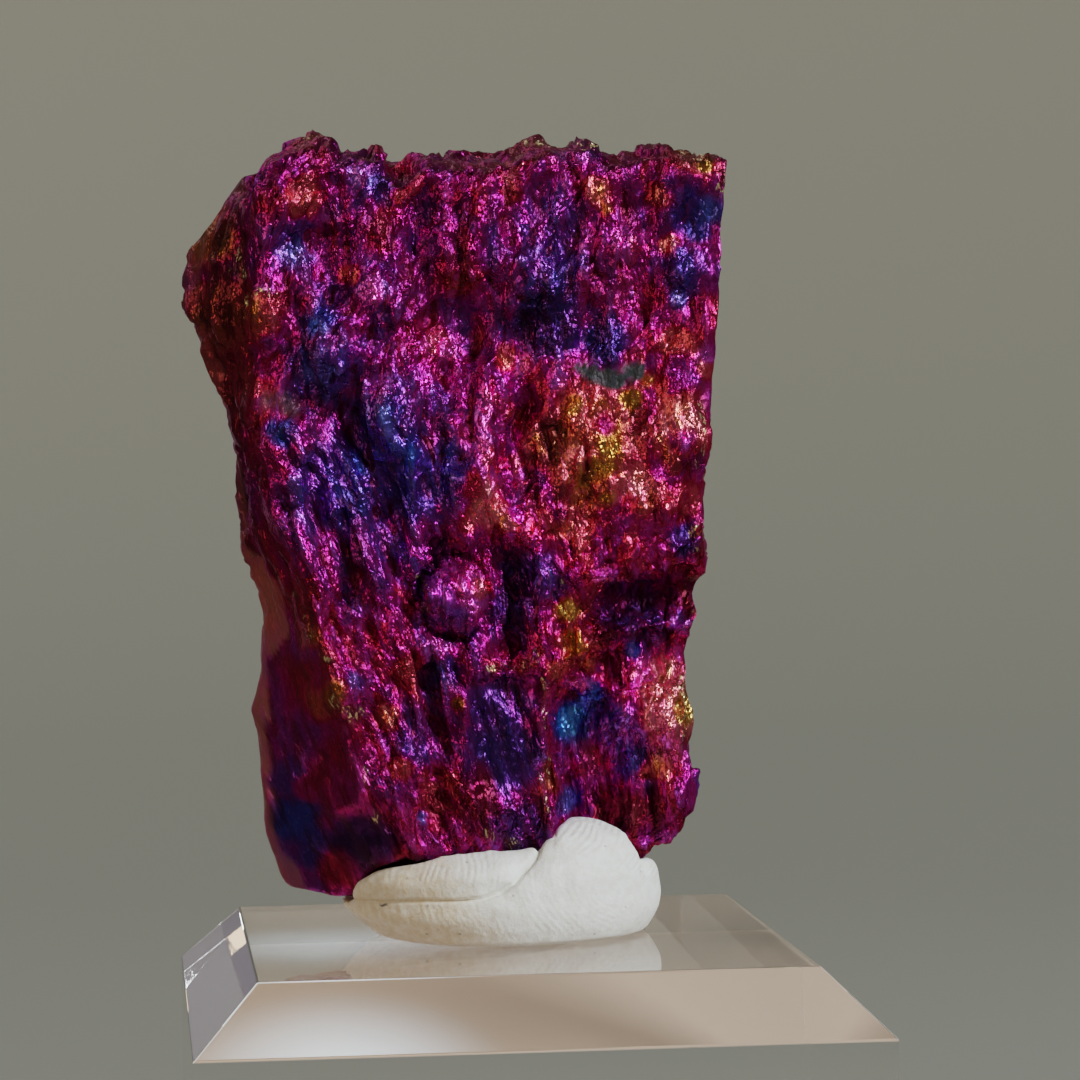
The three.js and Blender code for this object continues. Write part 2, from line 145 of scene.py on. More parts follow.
class Shader:
    """The node tree of a material or a world, built from expressions."""

    def __init__(self, owner: "bpy.types.Material | bpy.types.World") -> None:
        """Empties the tree of a material or a world."""
        owner.use_nodes = True
        self.owner = owner
        self.tree = owner.node_tree
        self.tree.nodes.clear()

    @classmethod
    def of_material(cls, name: str) -> "Shader":
        """A shader for a new material of that name."""
        return cls(bpy.data.materials.new(name))

    def raw(self, kind: str, settings: dict, inputs: dict) -> bpy.types.Node:
        """Adds a node of any type.

        Args:
            kind: The node's type name.
            settings: Properties that are set first. A "ramp" entry holds a colour ramp's stops.
            inputs: Values or sockets by input name or number.

        Returns:
            The node.
        """
        node = self.tree.nodes.new(kind)
        for key, value in settings.items():
            if key == "ramp":
                self._fill_ramp(node.color_ramp, value)
            else:
                setattr(node, key, value)
        for key, value in inputs.items():
            if isinstance(value, Sock):
                self.tree.links.new(value.socket, node.inputs[key])
            else:
                node.inputs[key].default_value = value
        return node

    def node(self, kind: str, settings: dict, inputs: dict, output: str | int = 0) -> Sock:
        """Adds a node as raw() does and returns one of its outputs."""
        return Sock(self, self.raw(kind, settings, inputs).outputs[output])

    @staticmethod
    def _fill_ramp(ramp: bpy.types.ColorRamp, stops: Sequence[tuple[float, tuple]]) -> None:
        """Sets a colour ramp's stops from (position, colour) pairs."""
        while len(ramp.elements) < len(stops):
            ramp.elements.new(1.0)
        for element, (position, colour) in zip(ramp.elements, stops):
            element.position = position
            element.color = colour

    def attribute(self, name: str, output: str = "Fac") -> Sock:
        """A value stored on the mesh."""
        return self.node("ShaderNodeAttribute", {"attribute_name": name}, {}, output)

    def noise(self, where: Sock, scale: float, detail: float = 2.0, roughness: float = 0.5) -> Sock:
        """Smooth noise around 0.5."""
        inputs = {"Vector": where, "Scale": scale, "Detail": detail, "Roughness": roughness}
        return self.node("ShaderNodeTexNoise", {}, inputs)

    def stretched(self, where: Sock, scale: tuple[float, float, float], shift: float = 0.0) -> Sock:
        """A place scaled by a factor along each axis, and shifted to decouple two patterns."""
        scaled = self.vector("MULTIPLY", where, scale)
        return self.vector("ADD", scaled, (shift, 1.7 * shift, 2.3 * shift))

    def vector(self, operation: str, a: Sock, b: "Sock | tuple", output: str = "Vector") -> Sock:
        """A Vector Math node."""
        return self.node("ShaderNodeVectorMath", {"operation": operation}, {0: a, 1: b}, output)

    def mix(self, share: "Sock | float", a: "Sock | tuple", b: "Sock | tuple", how: str = "MIX") -> Sock:
        """A mix of two colours."""
        settings = {"data_type": "RGBA", "blend_type": how}
        return self.node("ShaderNodeMix", settings, {0: share, 6: a, 7: b}, 2)

    def ramp(self, value: Sock, stops: Sequence[tuple[float, tuple]]) -> Sock:
        """A colour ramp on a value."""
        return self.node("ShaderNodeValToRGB", {"ramp": stops}, {"Fac": value}, "Color")

    def bump(self, height: Sock, distance: float, under: "Sock | None" = None) -> Sock:
        """A bumped normal: distance is the metres that one unit of height stands for."""
        inputs = {"Height": height, "Distance": distance, "Strength": 1.0}
        if under is not None:
            inputs["Normal"] = under
        return self.node("ShaderNodeBump", {}, inputs)

    def finish(self, inputs: dict) -> bpy.types.Material:
        """Closes the tree with a Principled surface and returns the material."""
        surface = self.node("ShaderNodeBsdfPrincipled", {}, inputs)
        self.raw("ShaderNodeOutputMaterial", {}, {"Surface": surface})
        return self.owner


# ------------------------------------------------------------------------------ noise over arrays


class NoiseField:
    """Seeded smooth noise and cracked cells over arrays of points."""

    SIZE = 512

    def __init__(self, seed: int) -> None:
        """Draws the tables for one seed."""
        draw = np.random.default_rng(seed)
        self.order = draw.permutation(self.SIZE)
        directions = draw.normal(size=(self.SIZE, 3))
        self.directions = directions / np.linalg.norm(directions, axis=1, keepdims=True)
        self.spots = draw.random((self.SIZE, 3))
        self.draws = draw.random((self.SIZE, 4)) * 2 - 1

    def _hash(self, corner: np.ndarray) -> np.ndarray:
        """A table place for each whole-number corner."""
        first = self.order[corner[:, 0] % self.SIZE]
        second = self.order[(first + corner[:, 1]) % self.SIZE]
        return self.order[(second + corner[:, 2]) % self.SIZE]

    def smooth(self, points: np.ndarray) -> np.ndarray:
        """Smooth noise, roughly between -1 and 1, with a wavelength of 1."""
        base = np.floor(points).astype(int)
        part = points - base
        ease = part**3 * (part * (part * 6 - 15) + 10)
        total = np.zeros(len(points))
        for corner in np.ndindex(2, 2, 2):
            step = np.array(corner)
            towards = part - step
            share = np.prod(np.where(step == 1, ease, 1 - ease), axis=1)
            total += share * np.einsum("ij,ij->i", self.directions[self._hash(base + step)], towards)
        return total * 1.6

    def cells(self, points: np.ndarray) -> tuple[np.ndarray, np.ndarray, np.ndarray]:
        """The random cells around scattered spots.

        Args:
            points: Places, with about one spot to each unit cube.

        Returns:
            The offset from the nearest spot, how much nearer it is than the next one, and four random
            numbers from -1 to 1 that are the same all over a cell.
        """
        base = np.floor(points).astype(int)
        nearest = np.full(len(points), 9.0)
        second = np.full(len(points), 9.0)
        offset = np.zeros_like(points)
        owner = np.zeros(len(points), int)
        for corner in np.ndindex(3, 3, 3):
            cell = base + np.array(corner) - 1
            place = self._hash(cell)
            away = points - cell - self.spots[place]
            distance = np.linalg.norm(away, axis=1)
            closer = distance < nearest
            second = np.where(closer, nearest, np.minimum(second, distance))
            nearest = np.where(closer, distance, nearest)
            offset[closer] = away[closer]
            owner[closer] = place[closer]
        return offset, second - nearest, self.draws[owner]


def rise(value: np.ndarray, low: float, high: float) -> np.ndarray:
    """0 below low, 1 above high, smooth between."""
    t = np.clip((value - low) / (high - low), 0, 1)
    return t * t * (3 - 2 * t)


def line_distance(x: np.ndarray, z: np.ndarray, line: Sequence[tuple[float, float]]) -> np.ndarray:
    """Distance of each (x, z) from a line of points."""
    nearest = np.full(len(x), 1e9)
    for (ax, az), (bx, bz) in zip(line[:-1], line[1:]):
        dx, dz = bx - ax, bz - az
        t = np.clip(((x - ax) * dx + (z - az) * dz) / (dx * dx + dz * dz), 0, 1)
        nearest = np.minimum(nearest, np.hypot(x - ax - t * dx, z - az - t * dz))
    return nearest


# ------------------------------------------------------------------------------ skins


@dataclass
class Skin:
    """A closed triangle mesh as arrays, in millimetres above the block's top.

    Attributes:
        points: Places of the vertices.
        faces: Vertex numbers of the triangles.
        pairs: Vertex numbers of the edges, once they have been found.
    """

    points: np.ndarray
    faces: np.ndarray
    pairs: "np.ndarray | None" = None

    @classmethod
    def of_node(cls, node: bpy.types.Object, floor: float, splits: int) -> "Skin":
        """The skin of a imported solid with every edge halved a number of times.

        Args:
            node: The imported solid's object.
            floor: Height in metres that heights are measured from.
            splits: How many times each edge is halved.
        """
        shape = bmesh.new()
        shape.from_mesh(node.data)
        bmesh.ops.remove_doubles(shape, verts=shape.verts, dist=1e-7)
        bmesh.ops.triangulate(shape, faces=shape.faces)
        for _ in range(splits):
            bmesh.ops.subdivide_edges(shape, edges=shape.edges, cuts=1, use_grid_fill=True)
        bmesh.ops.triangulate(shape, faces=shape.faces)
        skin = cls.of_bmesh(shape)
        shape.free()
        skin.points = skin.points / MM
        skin.points[:, 2] -= floor / MM
        return skin

    @classmethod
    def of_bmesh(cls, shape: bmesh.types.BMesh) -> "Skin":
        """The arrays of a triangulated bmesh."""
        shape.verts.index_update()
        points = np.array([v.co[:] for v in shape.verts])
        faces = np.array([[v.index for v in f.verts] for f in shape.faces])
        return cls(points, faces)

    def refine(self, chosen: np.ndarray) -> None:
        """Halves the edges between chosen vertices.

        Args:
            chosen: True for the vertices whose edges are halved.
        """
        shape = bmesh.new()
        verts = [shape.verts.new(p) for p in self.points]
        for face in self.faces:
            shape.faces.new([verts[i] for i in face])
        shape.verts.index_update()
        edges = [e for e in shape.edges if chosen[e.verts[0].index] and chosen[e.verts[1].index]]
        bmesh.ops.subdivide_edges(shape, edges=edges, cuts=1, use_grid_fill=True)
        bmesh.ops.triangulate(shape, faces=shape.faces)
        finer = Skin.of_bmesh(shape)
        shape.free()
        self.points, self.faces, self.pairs = finer.points, finer.faces, None

    def edges(self) -> np.ndarray:
        """Each edge once, as pairs of vertex numbers."""
        if self.pairs is None:
            sides = np.concatenate([self.faces[:, [0, 1]], self.faces[:, [1, 2]], self.faces[:, [2, 0]]])
            self.pairs = np.unique(np.sort(sides, axis=1), axis=0)
        return self.pairs

    def normals(self) -> np.ndarray:
        """Unit normals of the vertices, weighted by the faces' areas."""
        a, b, c = (self.points[self.faces[:, i]] for i in range(3))
        face_normals = np.cross(b - a, c - a)
        total = np.zeros_like(self.points)
        for corner in range(3):
            for axis in range(3):
                total[:, axis] += np.bincount(
                    self.faces[:, corner], face_normals[:, axis], minlength=len(self.points)
                )
        return total / np.maximum(np.linalg.norm(total, axis=1, keepdims=True), 1e-12)

    def averaged(self, values: np.ndarray, rounds: int, share: float = 0.5) -> np.ndarray:
        """Values of the vertices, blurred over their neighbours.

        Args:
            values: One row for each vertex.
            rounds: How many times they are blurred.
            share: How far each one moves to its neighbours' mean.
        """
        first, second = self.edges().T
        count = np.bincount(first, minlength=len(values)) + np.bincount(second, minlength=len(values))
        rows = values.reshape(len(values), -1).astype(float)
        for _ in range(rounds):
            mean = np.stack(
                [
                    np.bincount(first, column[second], minlength=len(rows))
                    + np.bincount(second, column[first], minlength=len(rows))
                    for column in rows.T
                ],
                axis=1,
            )
            rows = rows + share * (mean / count[:, None] - rows)
        return rows.reshape(values.shape)

    def hollowness(self, rounds: int) -> np.ndarray:
        """How deep each vertex lies below its surroundings, in mm: above 0 in a trough."""
        return np.einsum("ij,ij->i", self.averaged(self.points, rounds) - self.points, self.normals())

    def to_object(self, name: str, floor: float, values: dict[str, np.ndarray]) -> bpy.types.Object:
        """A smooth-shaded object of this skin.

        Args:
            name: The object's name.
            floor: Height in metres that heights were measured from.
            values: Numbers or vectors to store on the vertices, by name.
        """
        mesh = bpy.data.meshes.new(name)
        places = self.points * MM + np.array([0, 0, floor])
        mesh.from_pydata(places.tolist(), [], self.faces.tolist())
        mesh.shade_smooth()
        for key, numbers in values.items():
            if numbers.ndim == 1:
                layer = mesh.attributes.new(key, "FLOAT", "POINT")
                layer.data.foreach_set("value", numbers.astype(np.float32))
            else:
                layer = mesh.attributes.new(key, "FLOAT_VECTOR", "POINT")
                layer.data.foreach_set("vector", numbers.astype(np.float32).ravel())
        mesh.validate()
        piece = bpy.data.objects.new(name, mesh)
        bpy.context.scene.collection.objects.link(piece)
        return piece


# ------------------------------------------------------------------------------ the ore


class Film(Enum):
    """Thickness of the tarnish film, from thin to thick, by the colour that it shows."""

    GOLD = 0.0
    ORANGE = 0.11
    SALMON = 0.22
    CRIMSON = 0.36
    MAGENTA = 0.48
    PURPLE = 0.6
    INDIGO = 0.74
    BLUE = 0.86
    TEAL = 1.0


@dataclass(frozen=True)
class OreFinish:
    """The tarnished metallic surface of the ore, with painted shade in its troughs, recesses and crack and painted
    highlights on its crests.
    """

    name: str = "tarnished_ore"
    bead: float = 0.3
    bead_length: float = 0.46
    chip: float = 0.48
    chip_length: float = 0.85
    crumb: float = 0.95
    crumb_length: float = 2.1

    # The film's thickness, its colour on open ground, its darker colour in the troughs as painted shade, and its
    # lighter colour on the crests as a painted highlight.
    TONES = (
        (Film.GOLD, srgb(186, 118, 50), srgb(86, 38, 16), srgb(246, 196, 108)),
        (Film.ORANGE, srgb(196, 92, 50), srgb(92, 26, 14), srgb(248, 152, 106)),
        (Film.SALMON, srgb(216, 78, 92), srgb(104, 12, 26), srgb(255, 136, 150)),
        (Film.CRIMSON, srgb(176, 26, 68), srgb(98, 5, 26), srgb(240, 86, 140)),
        (Film.MAGENTA, srgb(176, 34, 134), srgb(98, 4, 38), srgb(244, 94, 216)),
        (Film.PURPLE, srgb(118, 48, 150), srgb(80, 6, 48), srgb(184, 116, 232)),
        (Film.INDIGO, srgb(78, 52, 150), srgb(46, 10, 60), srgb(142, 118, 228)),
        (Film.BLUE, srgb(58, 66, 176), srgb(28, 18, 70), srgb(120, 130, 240)),
        (Film.TEAL, srgb(32, 116, 218), srgb(12, 36, 76), srgb(100, 176, 252)),
    )
    # The near black that painted shade takes the film's colour towards.
    PAINTED_SHADE_BLACK = srgb(30, 3, 20)
    FLECK = srgb(240, 212, 158)
    EARTH = srgb(86, 52, 30)
    SLATE = srgb(44, 52, 52)
    RIND = srgb(120, 74, 64)

    def material(self) -> bpy.types.Material:
        """Builds the material."""
        s = Shader.of_material(self.name)
        grain = s.attribute("grain", "Vector")
        calm = s.attribute("calm")
        chips = s.stretched(grain, (1 / self.chip, 1 / self.chip, 1 / self.chip_length))
        crumbs = s.stretched(grain, (1 / self.crumb, 1 / self.crumb, 1 / self.crumb_length), 3.1)
        chip_tilt, chip_draw = self._facets(s, chips)
        crumb_tilt, crumb_draw = self._facets(s, crumbs)
        places = s.stretched(grain, (1 / self.bead, 1 / self.bead, 1 / self.bead_length), 5.7)
        beads = s.node("ShaderNodeTexVoronoi", {"feature": "F1"}, {"Vector": places, "Scale": 1.0}, "Distance")
        wrinkle = (s.noise(s.stretched(grain, (2.3, 2.3, 1.3)), 1.0, 2.5, 0.6) - 0.5).size()
        beaded = s.noise(s.stretched(grain, (0.6, 0.6, 0.35), 41.0), 1.0, 2.0).between(0.42, 0.66)
        lumps = s.noise(s.stretched(grain, (1.1, 1.1, 0.5), 63.0), 1.0, 2.0)
        relief = chip_tilt * 0.22 + crumb_tilt * 0.48 - wrinkle * 0.16 + lumps * 0.55
        relief = relief - beads * beads * (beaded * 0.1 + 0.03)
        normal = s.bump(relief * (1.0 - calm * 0.97), MM)

        drift = s.noise(s.stretched(grain, (0.55, 0.55, 0.3), 8.0), 1.0, 2.0) - 0.5
        laid = s.attribute("film")
        film = laid + (chip_draw * 0.05 + crumb_draw * 0.06) * (1.0 - calm)
        film = film + drift * (0.26 - laid.between(0.66, 0.84) * 0.2)
        # The body, trough and crest ramps give the film's colour, its painted trough shade and its painted crest
        # highlight.
        body, trough, crest_highlight = (
            s.ramp(film.clipped(), [(tone[0].value, tone[place]) for tone in self.TONES]) for place in (1, 2, 3)
        )
        streaks = s.noise(s.stretched(grain, (0.9, 0.9, 0.18), 15.0), 1.0, 3.0)
        cavity, painted_highlight = s.attribute("cavity"), s.attribute("painted_highlight")
        # Painted highlights: the crest colour on convex ridges, on fine glint specks and on the highlight spots.
        ridges = (chip_draw * 0.06 - cavity).between(0.03, 0.16) * 0.35
        fine = s.noise(s.stretched(grain, (4.6, 4.6, 2.8), 27.0), 1.0, 1.0)
        colour = s.mix((ridges + fine.between(0.54, 0.68) * 0.25 + painted_highlight).clipped(), body, crest_highlight)
        # Painted shade: the trough colour in hollows (cavity) and on the left wall (dull), with random dark
        # streaks in the same colour, held back where highlights are painted.
        worn = cavity.between(0.0, 0.16) * 0.6 + streaks.between(0.48, 0.58) * 0.65 + s.attribute("dull")
        dull = (worn - painted_highlight).clipped()
        colour = s.mix(dull, colour, trough)
        # Painted shade: the film goes towards near black in the shade spots, near the top, on the crown, low on
        # the left, on the left wall and in the crack round the knob.
        colour = s.mix(s.attribute("shade"), colour, self.PAINTED_SHADE_BLACK)
        colour = s.mix(s.attribute("fleck") * 0.5, colour, self.EARTH)
        fleck = (s.attribute("fleck") * 0.62 + chip_draw * 0.4).between(0.55, 0.75) * fine.between(0.5, 0.6)
        colour = s.mix(fleck * 0.9, colour, self.FLECK)
        slate, rind = s.attribute("slate"), s.attribute("rind")
        colour = s.mix(slate, colour, self.SLATE)
        colour = s.mix(rind * (0.55 + streaks * 0.7), colour, self.RIND)
        return s.finish(
            {
                "Base Color": colour,
                "Metallic": (0.92 - dull * 0.3 - (slate + rind) * 0.6).clipped(),
                "Roughness": (0.27 + chip_draw * 0.08 + cavity * 0.4 + (slate + rind) * 0.3).clipped(),
                "Specular Tint": (0.8, 0.4, 0.55, 1.0),
                "Normal": normal,
            }
        )

    @staticmethod
    def _facets(s: Shader, where: Sock) -> tuple[Sock, Sock]:
        """Cells that are each a small flat face tilted its own way.

        Args:
            s: The shader.
            where: Places, with about one cell to each unit.

        Returns:
            The height of the tilted faces, and a random number from -1 to 1 for each cell.
        """
        cells = s.raw("ShaderNodeTexVoronoi", {"feature": "F1"}, {"Vector": where, "Scale": 1.0})
        colour, spot = Sock(s, cells.outputs["Color"]), Sock(s, cells.outputs["Position"])
        tilt = s.vector("SUBTRACT", colour, (0.5, 0.5, 0.5))
        away = s.vector("SUBTRACT", where, spot)
        height = s.vector("DOT_PRODUCT", tilt, away, "Value")
        draw = s.node("ShaderNodeSeparateColor", {}, {"Color": colour}, "Blue")
        return height, draw * 2.0 - 1.0


@dataclass
class PeacockOre:
    """The ore: its solid's form, with the crumbled fibrous surface and the tarnish patches."""

    node: str = "peacock_ore"
    slot: str = "ore"
    floor: float = 0.0
    splits: int = 2
    finish: OreFinish = field(default_factory=OreFinish)
    seed: int = 41

    # The six-sided knob and the crack round it.
    knob: tuple[float, float] = (-4.4, 26.4)
    knob_radius: float = 2.55
    # Left edge of the front face: upright above the bend, leaning in below it.
    edge_x: float = -19.6
    edge_bend: float = 39.0
    edge_lean: float = 0.334
    right_x: float = 15.6
    width: float = 34.0

    # Broken rims with bare flecks: their (x, z) points and how wide they are.
    RIMS = (
        (((-16.6, 26.6), (-15.2, 23.4), (-13.8, 20.7), (-13.6, 18.4), (-12.4, 17.6)), 0.7),
        (((-10.7, 18.4), (-12.6, 17.4)), 0.8), (((-11.5, 13.6), (-10.6, 9.6)), 0.5),
        (((-1.8, 21.0), (0.6, 21.0), (2.0, 22.2)), 0.6), (((2.3, 20.0), (2.4, 16.0), (2.3, 12.6)), 0.5),
        (((2.2, 12.6), (2.4, 10.2)), 0.8), (((-2.2, 8.4), (0.2, 7.2), (1.9, 6.8)), 0.8),
        (((14.4, 44.0), (14.2, 36.0)), 0.5), (((14.2, 32.5), (13.9, 25.0)), 0.7),
        (((13.4, 19.4), (13.3, 14.6)), 0.9), (((-15.6, 61.4), (-13.4, 61.6)), 0.8),
        (((1.8, 60.9), (7.0, 60.5)), 0.9), (((13.6, 60.0), (16.6, 59.4), (16.2, 56.5)), 0.9),
        (((-20.4, 53.0), (-20.0, 47.5)), 0.7), (((-19.6, 49.6), (-17.6, 49.2)), 0.6),
        (((-6.9, 28.0), (-6.8, 25.4)), 0.5), (((3.4, 27.6), (3.4, 25.6)), 0.6),
    )

    # Sharp edges of the front face: their (x, z) points, half width and height.
    EDGES = (
        (((-17.0, 27.9), (-15.2, 23.2), (-13.8, 20.4), (-12.8, 16.0), (-11.8, 12.0)), 0.4, 0.35),
        (((2.3, 20.8), (2.4, 8.5)), 0.3, 0.3), (((-3.8, 20.9), (-0.6, 20.7), (2.2, 21.5)), 0.3, 0.15),
        (((5.2, 28.1), (6.4, 27.6), (8.2, 27.9), (10.4, 28.1), (14.0, 28.8)), 0.3, 0.3),
    )

    # Places of painted shade, mostly in recesses, under overhangs and along deep bands, with a few darker patches
    # of film: the middle, the half sizes and how dark.
    PAINTED_SHADE_SPOTS = (
        ((-0.9, 16.2), (2.9, 4.6), 0.5), ((-3.4, 54.0), (1.0, 5.0), 0.5), ((1.6, 37.0), (1.0, 4.5), 0.45),
        ((-2.8, 11.2), (2.2, 3.2), 0.6), ((3.0, 47.4), (3.0, 2.6), 0.55), ((7.1, 45.2), (1.5, 2.2), 0.55),
        ((-11.4, 7.6), (2.9, 2.7), 0.75), ((-7.2, 5.4), (4.4, 1.7), 0.8), ((8.6, 26.0), (4.0, 1.8), 0.45),
        ((7.1, 23.8), (1.6, 1.5), 0.6), ((9.9, 23.4), (2.2, 0.8), 0.4), 
        ((10.8, 14.1), (1.5, 0.5), 0.6), ((9.8, 9.2), (3.6, 2.0), 0.5), ((0.4, 9.2), (2.4, 2.9), 0.6),
        ((-13.0, 14.0), (2.0, 3.6), 0.3), ((0.4, 25.6), (1.4, 4.0), 0.3), ((-15.0, 29.0), (1.0, 4.0), 0.3),
        ((-14.6, 41.3), (2.6, 1.4), 0.5), ((-9.3, 57.4), (0.9, 2.2), 0.6), ((-9.5, 54.0), (1.8, 1.4), 0.6),
        ((-13.7, 52.2), (0.9, 2.0), 0.5), ((-7.5, 48.0), (1.0, 3.5), 0.4), ((9.8, 39.0), (1.3, 2.2), 0.5),
        ((3.1, 37.9), (0.9, 2.4), 0.6), ((3.6, 33.4), (0.9, 1.6), 0.55), ((12.2, 36.2), (2.0, 0.7), 0.5),
        ((9.6, 56.6), (0.8, 3.0), 0.4), ((-4.4, 18.4), (0.6, 2.6), 0.4), ((-12.4, 31.0), (1.0, 5.0), 0.35),
    )

    # Places of painted highlight, where the film takes its crest colour and sheds its painted trough shade, in the
    # same form.
    PAINTED_HIGHLIGHT_SPOTS = (
        ((12.8, 39.4), (2.0, 1.8), 0.4), ((12.8, 38.0), (0.7, 1.0), 0.6), ((9.5, 34.7), (1.3, 1.0), 0.4),
        ((7.8, 34.1), (0.8, 0.8), 0.4), ((4.6, 37.0), (0.8, 1.0), 0.45), ((-1.9, 40.8), (0.7, 1.3), 0.5),
        ((-2.3, 38.0), (0.7, 1.9), 0.6), ((-1.7, 34.9), (0.7, 1.3), 0.55), ((-2.2, 32.6), (1.1, 1.2), 0.5),
        ((0.6, 35.5), (0.5, 2.2), 0.35), ((8.7, 52.8), (0.9, 1.5), 0.6), ((12.3, 52.8), (0.9, 0.6), 0.8),
        ((12.8, 48.8), (0.6, 0.7), 0.8), ((11.5, 56.3), (0.4, 1.3), 0.5), ((15.4, 55.6), (0.7, 1.2), 0.4),
        ((5.1, 59.7), (1.8, 0.8), 0.45), ((0.2, 58.2), (0.5, 1.6), 0.45), ((1.1, 43.9), (0.9, 0.9), 0.8),
        ((3.5, 43.0), (0.7, 1.3), 0.5), ((14.8, 44.5), (0.7, 0.9), 0.6), ((-10.4, 49.6), (1.3, 1.1), 0.6),
        ((-5.2, 45.4), (1.3, 1.1), 0.55), ((-13.3, 55.3), (1.0, 0.7), 0.5), ((-16.3, 52.4), (1.7, 0.8), 0.5),
        ((-9.6, 39.6), (0.6, 1.4), 0.6), ((-11.4, 58.2), (0.8, 1.2), 0.5), ((-14.6, 43.4), (1.4, 0.6), 0.4),
        ((-3.3, 26.8), (1.3, 1.8), 0.55), ((-5.9, 22.8), (1.3, 0.7), 0.6), ((-12.2, 20.0), (0.5, 0.8), 0.8),
        ((13.0, 24.0), (1.0, 0.5), 0.9), ((11.6, 15.9), (0.6, 1.6), 0.55), ((10.3, 19.6), (0.7, 2.0), 0.4),
        ((12.0, 17.6), (2.2, 4.8), 0.7), ((7.4, 15.0), (2.6, 3.6), 0.3), ((4.1, 25.2), (0.6, 0.9), 0.6), ((4.9, 16.2), (1.1, 1.6), 0.7),
        ((6.2, 18.1), (0.7, 0.9), 0.5), ((5.3, 19.4), (1.0, 0.4), 0.6), ((4.6, 10.1), (0.6, 1.1), 0.6),
        ((-7.1, 9.8), (0.5, 0.5), 0.7), ((10.8, 11.5), (0.4, 0.3), 0.7), ((7.2, 27.5), (1.4, 0.22), 0.85),
        ((-9.8, 17.5), (0.8, 0.9), 0.4), ((9.6, 22.0), (0.4, 1.2), 0.5), ((-0.4, 31.9), (0.8, 0.7), 0.4),
    )

